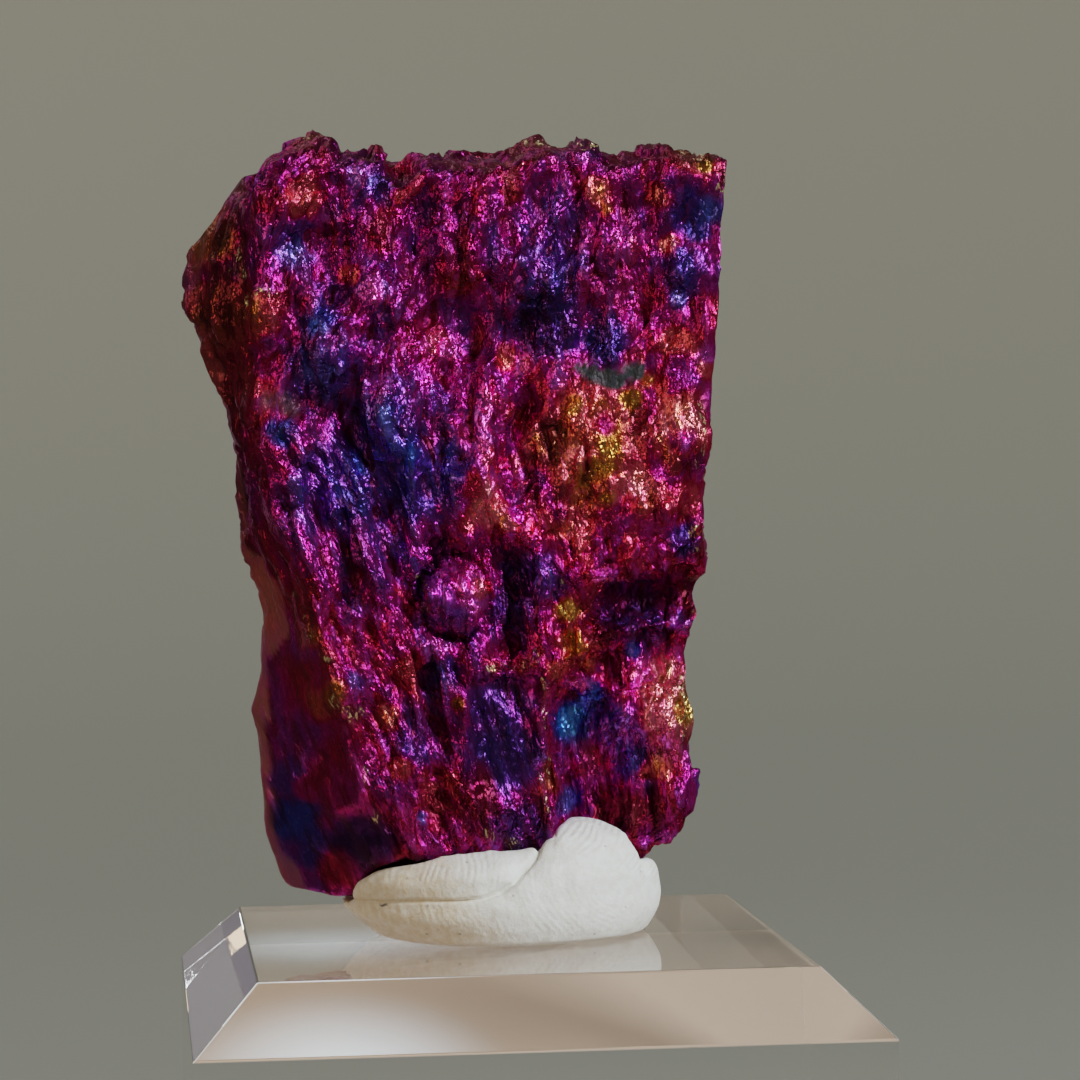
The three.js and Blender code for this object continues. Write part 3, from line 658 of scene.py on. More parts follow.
    # Patches where the film has its own thickness: x, z, radius and how fully each takes it. The smaller
    # ones lie over the larger ones.
    TARNISH = {
        Film.GOLD: (
            (4.5, 41.0, 0.9, 0.9), (9.1, 41.3, 1.0, 1.0), (10.4, 42.6, 0.8, 0.9), (7.3, 37.8, 1.0, 0.8),
            (6.7, 36.0, 1.0, 0.8), (7.2, 33.6, 0.8, 0.7), (5.4, 35.2, 0.7, 0.8), (4.1, 25.2, 1.1, 1.0),
            (4.3, 22.8, 1.2, 0.7), (13.3, 17.2, 1.2, 1.0), (15.0, 59.0, 0.9, 0.9), (6.8, 57.0, 1.4, 0.6),
            (-12.2, 50.8, 0.9, 0.6), (-22.7, 53.7, 2.6, 0.9), (2.9, 11.9, 0.9, 0.6), (-4.4, 18.4, 0.6, 0.8), (-15.4, 23.6, 1.0, 0.7), (-13.7, 19.6, 0.9, 0.7),
        ),
        Film.ORANGE: (
            (7.4, 55.6, 0.5, 1.0), (12.3, 52.8, 1.0, 0.7), (13.9, 59.6, 1.3, 0.9), (-0.4, 44.4, 1.0, 0.8),
            (3.9, 31.4, 0.9, 0.9), (5.3, 21.8, 1.7, 0.8), (3.2, 20.6, 1.0, 0.8), (10.9, 12.9, 1.5, 0.8),
            (-18.1, 48.1, 1.7, 0.7), (-21.7, 47.6, 3.2, 0.9), (-14.5, 18.4, 1.4, 0.8), (15.0, 43.4, 0.9, 0.7),
            (13.0, 45.4, 1.5, 0.6), (-0.6, 31.8, 0.8, 0.7), (12.0, 20.6, 1.0, 0.7), (6.2, 38.6, 4.6, 0.8), (2.6, 38.0, 2.2, 0.7),
            (5.4, 34.4, 2.2, 0.6), (-15.6, 56.6, 1.6, 0.6), (12.8, 40.9, 0.9, 0.6), (-6.0, 11.8, 2.4, 0.5),
        ),
        Film.SALMON: (
            (12.4, 38.8, 3.2, 0.9), (4.6, 37.0, 1.0, 0.9), (9.4, 34.4, 2.4, 0.8), (5.4, 31.4, 1.4, 0.7),
            (-2.1, 32.6, 1.8, 0.85), (-1.7, 34.8, 1.0, 0.7), (12.2, 17.8, 3.2, 0.9), (11.5, 56.3, 1.0, 0.9),
            (-9.8, 17.4, 1.1, 0.9), (-8.8, 13.6, 1.1, 0.9), (-8.2, 20.6, 2.0, 0.6), (0.2, 56.6, 1.0, 0.5),
            (-2.5, 27.0, 0.8, 0.7), (-21.4, 42.6, 2.6, 0.9), (-19.7, 26.1, 3.0, 0.8), (8.4, 9.8, 2.0, 0.4),
            (-8.4, 56.6, 0.7, 0.7), (13.0, 33.4, 1.8, 0.6),
        ),
        Film.CRIMSON: (
            (9.4, 30.6, 3.4, 0.8), (-9.4, 54.2, 2.2, 0.8), (-4.2, 50.6, 2.0, 0.7), (11.0, 44.6, 1.8, 0.6),
            (-6.6, 46.2, 2.0, 0.5), (-2.8, 11.6, 2.2, 0.9), (6.5, 13.0, 1.6, 0.9), (-15.2, 20.4, 1.8, 0.9),
            (-13.6, 5.6, 1.8, 0.9), (-15.6, 11.8, 1.2, 0.8), (-11.6, 22.6, 2.4, 0.6), (-9.0, 24.8, 2.4, 0.5),
            (9.4, 9.0, 2.6, 0.8), (-8.2, 9.0, 2.4, 0.6), (-15.2, 48.4, 1.0, 0.7), (1.8, 41.0, 2.0, 0.7),
        ),
        Film.MAGENTA: (
            (-10.4, 49.6, 1.8, 1.0), (-5.2, 45.4, 2.4, 0.9), (-2.2, 38.8, 2.2, 1.0), (1.1, 43.9, 1.2, 1.0),
            (3.5, 43.0, 1.2, 1.0), (8.6, 52.6, 1.8, 1.0), (7.6, 49.6, 2.8, 0.8), (5.0, 59.6, 2.2, 0.8),
            (-3.3, 26.8, 1.7, 1.0), (-5.9, 22.8, 1.7, 0.9), (12.8, 38.0, 1.0, 0.9), (15.2, 44.6, 0.8, 0.9),
            (-13.3, 55.3, 1.4, 0.8), (-12.4, 60.2, 1.6, 0.7), (5.3, 19.4, 1.2, 1.0), (-14.1, 11.3, 0.8, 0.9),
            (2.7, 17.6, 1.2, 0.6), (-6.4, 30.6, 2.0, 0.6), (9.8, 47.6, 1.6, 0.6),
        ),
        Film.PURPLE: (
            (-16.6, 53.0, 2.6, 0.9), (-11.0, 58.6, 2.6, 0.9), (3.0, 55.6, 3.0, 0.8), (0.2, 54.6, 3.0, 0.6),
            (-5.4, 41.0, 2.2, 0.9), (7.0, 39.4, 1.0, 0.6), (-5.2, 26.0, 2.4, 0.7), (1.2, 27.4, 3.0, 0.9),
            (-0.4, 24.4, 2.4, 0.6), (9.8, 24.0, 2.6, 0.9), (13.0, 24.0, 1.2, 0.9), (-7.2, 15.8, 2.4, 0.7),
            (8.6, 15.8, 2.2, 0.9), (10.8, 11.5, 0.6, 1.0), (-16.4, 15.6, 2.4, 0.7), (-12.2, 20.0, 1.0, 1.0),
            (-3.6, 47.6, 1.6, 0.7), (-9.6, 30.6, 4.0, 0.6), (0.4, 8.6, 2.6, 0.9), (15.4, 50.4, 1.4, 0.8),
            (-16.0, 22.6, 1.4, 0.7), (5.4, 47.6, 3.4, 0.7), (-12.6, 44.6, 3.4, 0.6),
            (-11.6, 39.0, 6.4, 0.7), (-9.4, 33.0, 5.2, 0.6), (-6.4, 12.6, 4.4, 0.4),
        ),
        Film.INDIGO: (
            (-14.4, 43.4, 2.8, 0.9), (-9.6, 38.6, 3.0, 0.9), (-7.4, 34.6, 3.0, 0.9), (-13.6, 34.6, 4.0, 0.8),
            (3.0, 50.4, 3.4, 0.7), (12.9, 50.8, 2.0, 0.9), (13.4, 56.0, 2.0, 0.7), (7.1, 45.4, 1.9, 1.0),
            (-5.5, 20.8, 1.3, 0.9), (-11.4, 7.8, 2.8, 0.9), (9.6, 13.4, 1.4, 1.0), (-15.4, 7.2, 2.2, 1.0),
            (-17.0, 12.4, 1.8, 0.8), (-0.8, 14.0, 3.2, 0.9), (-4.6, 36.6, 1.8, 0.8), (2.6, 46.6, 2.8, 0.7),
            (12.7, 30.4, 1.4, 0.8), (12.8, 48.8, 1.0, 0.9), (-16.4, 52.4, 1.4, 0.6), (1.8, 28.6, 1.6, 0.6),
        ),
        Film.BLUE: (
            (-9.8, 57.0, 1.3, 0.6), (-14.6, 47.4, 1.5, 0.9), (-17.4, 39.0, 1.4, 0.9), (-9.8, 39.8, 1.0, 0.4),
            (-0.9, 18.2, 2.6, 0.5), (6.3, 18.1, 1.3, 1.0), (-16.6, 9.2, 2.0, 1.0), (15.2, 55.4, 1.2, 0.9),
            (14.4, 54.0, 1.2, 0.9), (4.6, 10.1, 1.2, 0.8), (-8.0, 37.4, 1.4, 0.7), (9.5, 21.9, 0.9, 0.9),
            (-7.2, 9.8, 0.5, 0.7), (-12.0, 36.4, 1.6, 0.6),
        ),
        Film.TEAL: ((4.9, 16.2, 1.7, 1.0),),
    }

    def across(self, x: np.ndarray, z: np.ndarray) -> np.ndarray:
        """Distance across the grain, which leans with the face's left edge."""
        left = self.edge_x + self.edge_lean * np.maximum(0, self.edge_bend - z)
        return self.width * (x - left) / (self.right_x - left)

    def grain(self, points: np.ndarray) -> np.ndarray:
        """Places as distance across the grain, depth, and distance along it."""
        x, y, z = points.T
        return np.stack([self.across(x, z), y, z], axis=1)

    def build(self, node: bpy.types.Object) -> bpy.types.Object:
        """Builds the ore's skin from its solid.

        Args:
            node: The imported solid.

        Returns:
            The finished piece.
        """
        skin = Skin.of_node(node, self.floor, self.splits)
        skin.points = skin.averaged(skin.points, 3)
        skin.refine(self._fine_zone(skin))
        for reach in (1.0, 0.6):
            skin.refine(self._crack_zone(skin, reach))
        skin.points += self._relief(skin)[:, None] * skin.averaged(skin.normals(), 4)
        grain = self.grain(skin.points)
        values = {
            "grain": grain,
            "film": self._film(skin, grain),
            "cavity": skin.averaged(skin.hollowness(3), 1),
            "slate": self._slate(skin),
            "calm": 1 - self._rough(skin),
            "fleck": self._flecks(skin),
            # The dull, shade and highlight-spot values below are painted shade and painted highlights for the
            # finish.
            "dull": self._left_wall_shade(skin),
            "shade": self._shade(skin),
            "painted_highlight": self._spots(skin, self.PAINTED_HIGHLIGHT_SPOTS) * (1 - rise(skin.points[:, 1], 5, 8)),
            "rind": self._rind(skin),
        }
        LOG.info("%s: %d triangles", self.node, len(skin.faces))
        return skin.to_object(f"{self.node}_surface", self.floor, values)

    def _fine_zone(self, skin: Skin) -> np.ndarray:
        """The vertices of the front face whose forms are the smallest."""
        x, y, z = skin.points.T
        facing = skin.averaged(skin.normals(), 6)[:, 1] < -0.25
        knob = np.hypot(x - self.knob[0], z - self.knob[1]) < 5
        return facing & (y < -1) & (knob | ((x > -4.5) & (z > 17) & (z < 31)))

    def _crack_zone(self, skin: Skin, reach: float) -> np.ndarray:
        """The vertices within reach of the crack round the knob, mm."""
        x, y, z = skin.points.T
        return (np.abs(self._knob_distance(x, z) - self.knob_radius - 0.2) < reach) & (y < -2.5)

    def _relief(self, skin: Skin) -> np.ndarray:
        """How far each vertex moves out, mm."""
        x, y, z = skin.points.T
        grain = self.grain(skin.points)
        rough = self._rough(skin)
        total = np.zeros(len(x))
        for size, length, tilt, step, seed in ((2.2, 6.5, 0.24, 0.14, 1), (0.95, 3.4, 0.26, 0.08, 2)):
            field_ = NoiseField(self.seed + seed)
            places = grain / np.array([size, size, length])
            offset, edge, draws = field_.cells(places)
            slope = np.einsum("ij,ij->i", draws[:, :3], offset * size)
            total += rough * (tilt * slope + step * draws[:, 3] - 0.1 * (1 - rise(edge, 0, 0.16)))
        waves = NoiseField(self.seed + 3)
        total += rough * 0.42 * waves.smooth(grain / np.array([1.9, 2.4, 8.0]) + 71)
        total += rough * 0.19 * waves.smooth(grain / np.array([0.85, 0.85, 2.0]))
        total += 0.05 * rough * waves.smooth(grain / np.array([0.6, 0.6, 0.8]) + 9)
        seams = np.abs(waves.smooth(grain / np.array([2.4, 3.4, 11.0]) + 57))
        total -= rough * 0.5 * np.exp(-((seams / 0.07) ** 2)) * rise(waves.smooth(grain / 4.0 + 3), -0.3, 0.3)
        pits = waves.smooth(grain / np.array([1.5, 1.5, 3.0]) + 23)
        total -= rough * 0.4 * rise(pits, 0.4, 0.8)
        for line, width, height in self.EDGES:
            total += height * np.exp(-((line_distance(x, z, line) / width) ** 2)) * (1 - rise(y, -1, 2))
        return total - 0.1 + self._knob_relief(x, y, z)

    def _rough(self, skin: Skin) -> np.ndarray:
        """How crumbled the surface is: less in the hollow, on the side walls and on the knob."""
        x, y, z = skin.points.T
        hollow = rise(y, 0.5, 3) * rise(x, 2, 3.5) * (1 - rise(x, 9.5, 11)) * (1 - rise(z, 19, 21))
        hollow *= 1 - rise(y, 8, 10)
        beside = 1 - rise(x - self.across_edge(z), -1.2, 0.6)
        wall = beside * (1 - rise(z, 22, 27)) * (1 - rise(y, 8, 11))
        flat = rise(x, -4.2, -3.4) * (1 - rise(x, 1.6, 2.2)) * rise(z, 10, 11.5) * (1 - rise(z, 19.8, 20.6))
        flat *= 1 - rise(y, -3, -1)
        upper_wall = beside * rise(z, 22, 27)
        right_wall = rise(x, 12.8, 15.2) * (1 - rise(z, 56, 58))
        knob = 1 - rise(np.hypot(x - self.knob[0], z - self.knob[1]), 2.4, 3.2)
        knob *= 1 - rise(y, -3, 0)
        return 1 - 0.5 * hollow - 0.85 * wall - 0.35 * upper_wall - 0.5 * right_wall - 0.5 * flat - 0.35 * knob

    def _flecks(self, skin: Skin) -> np.ndarray:
        """How likely bare brassy flecks are: along broken rims."""
        x, y, z = skin.points.T
        field_ = NoiseField(self.seed + 13)
        wx = x + 0.5 * field_.smooth(skin.points / 1.3)
        near = np.zeros(len(x))
        for line, width in self.RIMS:
            near = np.maximum(near, 1 - rise(line_distance(wx, z, line), 0.15 * width, width))
        return near * (1 - rise(y, 4, 7)) * rise(field_.smooth(skin.points / 2.1 + 5), -0.5, 0.25)

    def _left_wall_shade(self, skin: Skin) -> np.ndarray:
        """How far the left wall's film goes to its trough colour as painted shade, beyond the troughs' own, and
        loses some of its metal shine.
        """
        x, y, z = skin.points.T
        beside = 1 - rise(x - self.across_edge(z), -1.0, 0.8)
        return (0.3 - 0.1 * (1 - rise(z, 22, 30))) * beside * (1 - rise(y, 8, 11))

    def _shade(self, skin: Skin) -> np.ndarray:
        """How far painted shade takes the film towards near black: in the shade spots, towards the top, on
        up-facing faces of the crown, low on the left, on the left wall and in the crack round the knob.
        """
        x, y, z = skin.points.T
        up = skin.averaged(skin.normals(), 2)[:, 2]
        near = self._spots(skin, self.PAINTED_SHADE_SPOTS)
        near = np.maximum(near, 0.24 * rise(z, 42, 52) + 0.55 * rise(up, 0.35, 0.65) * rise(z, 54, 57))
        near = np.maximum(near, 0.16 * (1 - rise(x, -4, -1)) * (1 - rise(z, 20, 26)))
        crack = self._crack(x, z) * (1 - rise(y, -2, 1))
        beside = 1 - rise(x - self.across_edge(z), -1.0, 0.8)
        near = np.maximum(near, (0.2 + 0.32 * rise(z, 26, 34)) * beside)
        return np.maximum(near * (1 - rise(y, 5, 8)), 0.9 * crack)

    def _spots(self, skin: Skin, spots: Sequence[tuple]) -> np.ndarray:
        """Strength at each vertex of oval spots, given as their middles, half sizes and strengths."""
        x, _, z = skin.points.T
        field_ = NoiseField(self.seed + 17)
        sway = np.stack([field_.smooth(skin.points / 1.5 + shift) for shift in (0, 9)])
        near = np.zeros(len(x))
        for (cx, cz), (rx, rz), share in spots:
            dx, dz = sway * min(0.4, 0.3 * rz)
            reach = np.hypot((x + dx - cx) / rx, (z + dz - cz) / rz)
            near = np.maximum(near, share * (1 - rise(reach, 0.7, 1.15)))
        return near

    def _rind(self, skin: Skin) -> np.ndarray:
        """Where the dull mauve rind shows: down the back edge of the left wall, wider above its middle."""
        x, y, z = skin.points.T
        wy = y + 0.5 * NoiseField(self.seed + 19).smooth(skin.points / 1.7)
        start = 2.4 - 3.4 * rise(z, 21, 24) + 2.6 * rise(z, 27, 31)
        rind = rise(wy, start - 0.3, start + 0.3) * (1 - 0.55 * rise(z, 28, 34)) * (x < self.across_edge(z))
        crown = 0.2 * rise(skin.averaged(skin.normals(), 2)[:, 2], 0.6, 0.85) * rise(z, 54, 57)
        return np.maximum(0.8 * rind * (1 - rise(y, 9, 12)), crown)

    def across_edge(self, z: np.ndarray) -> np.ndarray:
        """X of the front face's left edge at height z."""
        return self.edge_x + self.edge_lean * np.maximum(0, self.edge_bend - z)

    def _knob_distance(self, x: np.ndarray, z: np.ndarray) -> np.ndarray:
        """Distance from the knob's middle, measured so that the knob is a tall rounded hexagon."""
        dx, dz = x - self.knob[0], (z - self.knob[1]) / 1.2
        sector = math.pi / 3
        off_axis = np.mod(np.arctan2(dz, dx) + 0.3, sector) - sector / 2
        hexagon = np.hypot(dx, dz) * np.cos(off_axis) / math.cos(sector / 2) * 0.93
        return 0.7 * hexagon + 0.3 * np.hypot(dx, dz)

    def _crack(self, x: np.ndarray, z: np.ndarray) -> np.ndarray:
        """The crack round the knob: open on its left and below, nearly closed elsewhere."""
        gap = (self._knob_distance(x, z) - self.knob_radius - 0.2) / 0.17
        around = (self.knob[0] - x) * 0.75 + (self.knob[1] - z) * 0.65
        return np.exp(-(gap**2)) * (0.6 + 0.4 * rise(around, -1.4, 0.6))

    def _knob_relief(self, x: np.ndarray, y: np.ndarray, z: np.ndarray) -> np.ndarray:
        """The knob's rounded shoulder and the crack round it."""
        shoulder = np.exp(-(((self._knob_distance(x, z) - self.knob_radius + 0.5) / 0.45) ** 2))
        top = 1 - rise(self._knob_distance(x, z), 1.8, 2.5)
        lean = -0.16 * (x - self.knob[0]) - 0.12 * (z - self.knob[1])
        return (1 - rise(y, -3, 0)) * (0.2 * shoulder + top * lean - 0.7 * self._crack(x, z))

    def _film(self, skin: Skin, grain: np.ndarray) -> np.ndarray:
        """Thickness of the tarnish film at each vertex."""
        x, y, z = skin.points.T
        field_ = NoiseField(self.seed + 7)
        film = 0.45 + 0.13 * field_.smooth(grain / np.array([6.5, 6.5, 9.0]))
        film += 0.07 * field_.smooth(grain / np.array([2.4, 2.4, 3.6]) + 5)
        sway = np.stack([field_.smooth(skin.points / 1.9 + shift) for shift in (11, 31)])
        patches = sorted(
            ((film_, *patch) for film_, group in self.TARNISH.items() for patch in group),
            key=lambda patch: -patch[3],
        )
        front = (1 - rise(y, 9, 11)) * (1 - rise(x, 9, 12) * rise(y + 2.5 * sway[0], -1, 5))
        for colour, px, pz, radius, share in patches:
            dx, dz = sway * min(1.1, 0.35 * radius)
            near = 1 - rise(np.hypot(x + dx - px, z + dz - pz) / radius, 0.5, 1.2)
            film += share * near * front * (colour.value - film)
        return film

    def _slate(self, skin: Skin) -> np.ndarray:
        """Where the bare slate-grey matrix shows through."""
        x, y, z = skin.points.T
        field_ = NoiseField(self.seed + 9)
        wx = x + 0.5 * field_.smooth(skin.points / 1.1)
        wz = z + 0.5 * field_.smooth(skin.points / 1.1 + 7)
        patch = np.maximum(
            1 - rise(line_distance(wx, wz, [(5.6, 43.6), (7.6, 42.4), (9.8, 43.4)]), 0.45, 0.8),
            0.7 * (1 - rise(line_distance(wx, wz, [(-18.2, 41.5), (-16.6, 40.8)]), 0.5, 1.1)),
        )
        return patch * (1 - rise(y, -2, 0))

    def dress(self, piece: bpy.types.Object) -> None:
        """Gives the piece its finish and its place in the frame."""
        piece.data.materials.append(self.finish.material())
        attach(piece, BODY)
        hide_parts(self.node)


# ------------------------------------------------------------------------------ the tack


@dataclass(frozen=True)
class TackFinish:
    """Off-white putty with a dull skin, fingerprints and a few dark specks, with painted shade in its crease and
    hollows and a painted warm shade on its left part.
    """

    name: str = "mineral_tack_putty"
    ridge: float = 0.46
    CREAM = srgb(251, 253, 250)
    SHADE = srgb(218, 211, 194)
    # The warm, darker colour of the painted shade on the tack's left part.
    WARM_LEFT_SHADE = srgb(216, 180, 126)
    SPECK = srgb(70, 62, 52)

    def material(self) -> bpy.types.Material:
        """Builds the material."""
        s = Shader.of_material(self.name)
        place = s.attribute("place", "Vector")
        ridges = (s.attribute("print_phase") * (2 * math.pi / self.ridge)).sine()
        worn = s.noise(place, 0.7, 2.0).between(0.3, 0.62)
        grainy = s.noise(place, 4.0, 3.0, 0.65)
        dents = s.noise(s.stretched(place, (1.3, 1.3, 1.3), 4.0), 1.0, 3.0)
        relief = ridges * s.attribute("print") * worn * 0.013 + grainy * 0.045 + dents * 0.12
        mottle = s.noise(place, 1.6, 3.0, 0.6).between(0.3, 0.75)
        colour = s.mix(mottle * 0.35, self.CREAM, self.SHADE)
        # Painted shade in the crease and hollows.
        colour = s.mix(s.attribute("cavity").between(0.01, 0.12) * 0.6, colour, self.SHADE)
        # Painted warm shade over the left part, mottled.
        colour = s.mix(s.attribute("warm_left_shade") * (0.35 + mottle * 0.3), colour, self.WARM_LEFT_SHADE)
        specks = s.node(
            "ShaderNodeTexVoronoi", {"feature": "F1"}, {"Vector": place, "Scale": 0.62}, "Distance"
        )
        colour = s.mix((1.0 - specks.between(0.05, 0.09)) * 0.45, colour, self.SPECK)
        colour = s.mix(s.attribute("speck"), colour, self.SPECK)
        return s.finish(
            {
                "Base Color": colour,
                "Roughness": 0.55 + mottle * 0.15,
                "Subsurface Weight": 0.12,
                "Subsurface Radius": (0.0012, 0.001, 0.0007),
                "Subsurface Scale": 1.0,
                "Specular IOR Level": 0.4,
                "Normal": s.bump(relief, MM),
            }
        )


@dataclass
class MineralTack:
    """The folded lump of putty, with the crease between its lobes and the maker's fingerprints."""

    node: str = "mineral_tack"
    slot: str = "tack"
    floor: float = 0.0
    voxel: float = 0.00017
    smoothing: int = 140
    finish: TackFinish = field(default_factory=TackFinish)

    crease: tuple = (
        (-12.9, 3.1), (-10.0, 3.4), (-7.3, 3.6), (-4.8, 3.65), (-3.0, 3.8), (-1.4, 4.3), (-0.4, 5.0),
        (0.6, 6.0), (1.4, 6.8), (2.0, 7.8),
    )
    whorl: tuple[float, float] = (7.2, 3.9)
    speck_at: tuple[float, float] = (-10.1, 3.1)

    def build(self, node: bpy.types.Object) -> bpy.types.Object:
        """Builds the tack's skin from its solid.

        Args:
            node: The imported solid.

        Returns:
            The finished piece.
        """
        skin = self._even_skin(node)
        under = skin.points[:, 2] < 0.02
        pinned = skin.points.copy()
        for share in (0.5, -0.52) * self.smoothing:
            skin.points = skin.averaged(skin.points, 1, share)
            skin.points[under] = pinned[under]
        x, y, z = skin.points.T
        flank = np.exp(-(((x - 2.4) / 1.3) ** 2)) * rise(z, 6.9, 7.9) * (1 - rise(y, -4.2, -1.8))
        skin.points[:, 0] -= (2.3 - 1.1 * rise(z, 8.2, 8.9)) * flank
        corner = rise(x, 8.6, 10.2) * rise(z, 4.6, 6.4) + 0.5 * rise(z, 7.8, 8.6) * (x > 1)
        corner = corner + rise(x, -2.2, -1.0) * (1 - rise(x, 2.4, 3.4)) * rise(z, 6.0, 6.6)
        skin.points += np.clip(corner, 0, 1)[:, None] * (skin.averaged(skin.points, 120) - skin.points)
        skin.refine((line_distance(x, z, self.crease) < 0.7) & (y < -1))
        skin.points += self._folds(skin)[:, None] * skin.averaged(skin.normals(), 3)
        skin.points[:, 2] = np.maximum(skin.points[:, 2], 0.0)
        x, y, z = skin.points.T
        phase, strength = self._prints(x, y, z)
        values = {
            "place": skin.points.copy(),
            "cavity": skin.averaged(skin.hollowness(6), 1),
            "print_phase": phase,
            "print": strength,
            # Painted warm shade, strongest to the left and low down.
            "warm_left_shade": 1 - rise(x + 0.5 * z, -5.5, 1.0),
            "speck": self._speck(x, z) * (y < 0),
        }
        LOG.info("%s: %d triangles", self.node, len(skin.faces))
        return skin.to_object(f"{self.node}_putty", self.floor, values)

    def _even_skin(self, node: bpy.types.Object) -> Skin:
        """The solid's skin rebuilt from even small faces."""
        copy = bpy.data.objects.new("tack_copy", node.data.copy())
        bpy.context.scene.collection.objects.link(copy)
        remesh = copy.modifiers.new("even", "REMESH")
        remesh.mode = "VOXEL"
        remesh.voxel_size = self.voxel
        even = copy.evaluated_get(bpy.context.evaluated_depsgraph_get()).to_mesh()
        shape = bmesh.new()
        shape.from_mesh(even)
        bmesh.ops.triangulate(shape, faces=shape.faces)
        skin = Skin.of_bmesh(shape)
        shape.free()
        bpy.data.objects.remove(copy)
        skin.points = skin.points / MM
        skin.points[:, 2] -= self.floor / MM
        return skin

    def _folds(self, skin: Skin) -> np.ndarray:
        """How far the crease and the rolls beside it move each vertex, mm."""
        x, y, z = skin.points.T
        front = 1 - rise(y, -2.0, 1.5)
        distance = line_distance(x, z, self.crease)
        above = z > np.interp(x, [p[0] for p in self.crease], [p[1] for p in self.crease])
        side = np.where(above, distance, -distance)
        deep = rise(x, -5.5, -1.5)
        groove = -(0.33 + 0.17 * deep) * np.exp(-((side / (0.13 + 0.06 * deep)) ** 2))
        valley = -0.35 * rise(x, -4.0, 0.5) * (1 - 0.85 * rise(z, 5.4, 6.6)) * np.exp(-((side / 1.0) ** 2)) * rise(side, -0.15, 0.15)
        rolls = 0.14 * np.exp(-(((side - 1.4) / 1.0) ** 2)) + 0.16 * np.exp(-(((side + 1.0) / 0.9) ** 2))
        fold = line_distance(x, z, [(9.2, 7.6), (9.9, 6.6), (10.4, 4.9)])
        tuck = -0.4 * np.exp(-((fold / 0.22) ** 2)) * (1 - rise(y, 1, 4))
        soft = NoiseField(77).smooth(skin.points / 3.1) * 0.14
        return front * (groove + valley + rolls) + tuck + soft * rise(z, 0.0, 1.2)

    def _speck(self, x: np.ndarray, z: np.ndarray) -> np.ndarray:
        """The dark crumb caught in the crease's left end."""
        dx, dz = x - self.speck_at[0], z - self.speck_at[1]
        return 0.9 * (1 - rise(np.hypot(dx / 3.2, dz - 0.06 * np.sin(9 * dx)), 0.06, 0.13))

    def _prints(self, x: np.ndarray, y: np.ndarray, z: np.ndarray) -> tuple[np.ndarray, np.ndarray]:
        """Phase in mm and strength of the fingerprint ridges at each vertex."""
        wander = NoiseField(78).smooth(np.stack([x, y, z], axis=1) / 3.4)
        whorl = np.hypot((x - self.whorl[0]) / 1.25, (z - self.whorl[1]) + 0.25 * (x - self.whorl[0]))
        slant = 0.62 * x - 0.78 * z
        left = 0.95 * x - 0.3 * z
        on_left = rise(-x, 0.5, 2.0) * rise(z, 3.7, 4.6)
        on_top = (1 - on_left) * rise(z + 0.45 * x, 8.2, 9.6)
        phase = np.where(on_left > 0.5, left, np.where(on_top > 0.5, slant, whorl)) + 0.35 * wander
        middle = 1 - np.abs(2 * on_left - 1) + 1 - np.abs(2 * on_top - 1)
        strength = np.clip(1 - middle, 0, 1) * (1 - rise(y, 0, 3)) * rise(z, 0.5, 1.5)
        strength *= np.where(on_left > 0.5, 1.4 * rise(z, 4.4, 5.4), np.where(on_top > 0.5, 2.4, 0.6))
        return phase, strength

    def dress(self, piece: bpy.types.Object) -> None:
        """Gives the piece its finish and its place in the frame."""
        piece.data.materials.append(self.finish.material())
        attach(piece, BODY)
        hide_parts(self.node)


# ------------------------------------------------------------------------------ the block


@dataclass(frozen=True)
class AcrylicFinish:
    """Clear polished acrylic with faint wiping marks."""

    name: str = "clear_acrylic"
    TINT = (0.985, 0.99, 0.985, 1.0)

    def material(self) -> bpy.types.Material:
        """Builds the material."""
        s = Shader.of_material(self.name)
        place = s.node("ShaderNodeTexCoord", {}, {}, "Object")
        wipes = s.noise(s.stretched(place, (900, 120, 900)), 1.0, 3.0, 0.7)
        swirl = s.noise(place, 60.0, 2.0)
        return s.finish(
            {
                "Base Color": self.TINT,
                "Roughness": 0.008 + wipes.between(0.55, 0.8) * 0.03,
                "IOR": 1.49,
                "Transmission Weight": 1.0,
                "Normal": s.bump(wipes * 0.002 + swirl * 0.01, MM),
            }
        )


@dataclass
class DisplayBlock:
    """The clear block: its solid with every edge polished to a small round."""

    node: str = "acrylic_block"
    slot: str = "acrylic"
    edge_radius: float = 0.00012
    edge_steps: int = 3
    rim_height: float = 0.01
    finish: AcrylicFinish = field(default_factory=AcrylicFinish)

    def build(self, node: bpy.types.Object) -> bpy.types.Object:
        """Builds the block from its solid.

        Args:
            node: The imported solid.

        Returns:
            The finished piece.
        """
        shape = bmesh.new()
        shape.from_mesh(node.data)
        bmesh.ops.remove_doubles(shape, verts=shape.verts, dist=1e-6)
        bmesh.ops.dissolve_limit(
            shape, angle_limit=math.radians(1), verts=shape.verts, edges=shape.edges
        )
        rims = [e for e in shape.edges if min(v.co.z for v in e.verts) > self.rim_height]
        bmesh.ops.bevel(
            shape, geom=rims, offset=self.edge_radius, segments=self.edge_steps,
            profile=0.5, affect="EDGES", clamp_overlap=True,
        )
        bmesh.ops.triangulate(shape, faces=[f for f in shape.faces if len(f.verts) > 4])
        mesh = bpy.data.meshes.new(f"{self.node}_polished")
        shape.to_mesh(mesh)
        shape.free()
        mesh.shade_flat()
        piece = bpy.data.objects.new(f"{self.node}_polished", mesh)
        bpy.context.scene.collection.objects.link(piece)
        LOG.info("%s: %d faces", self.node, len(mesh.polygons))
        return piece

    def dress(self, piece: bpy.types.Object) -> None:
        """Gives the piece its finish and its place in the frame."""
        piece.data.materials.append(self.finish.material())
        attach(piece, BODY)
        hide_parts(self.node)


# ------------------------------------------------------------------------------ the studio


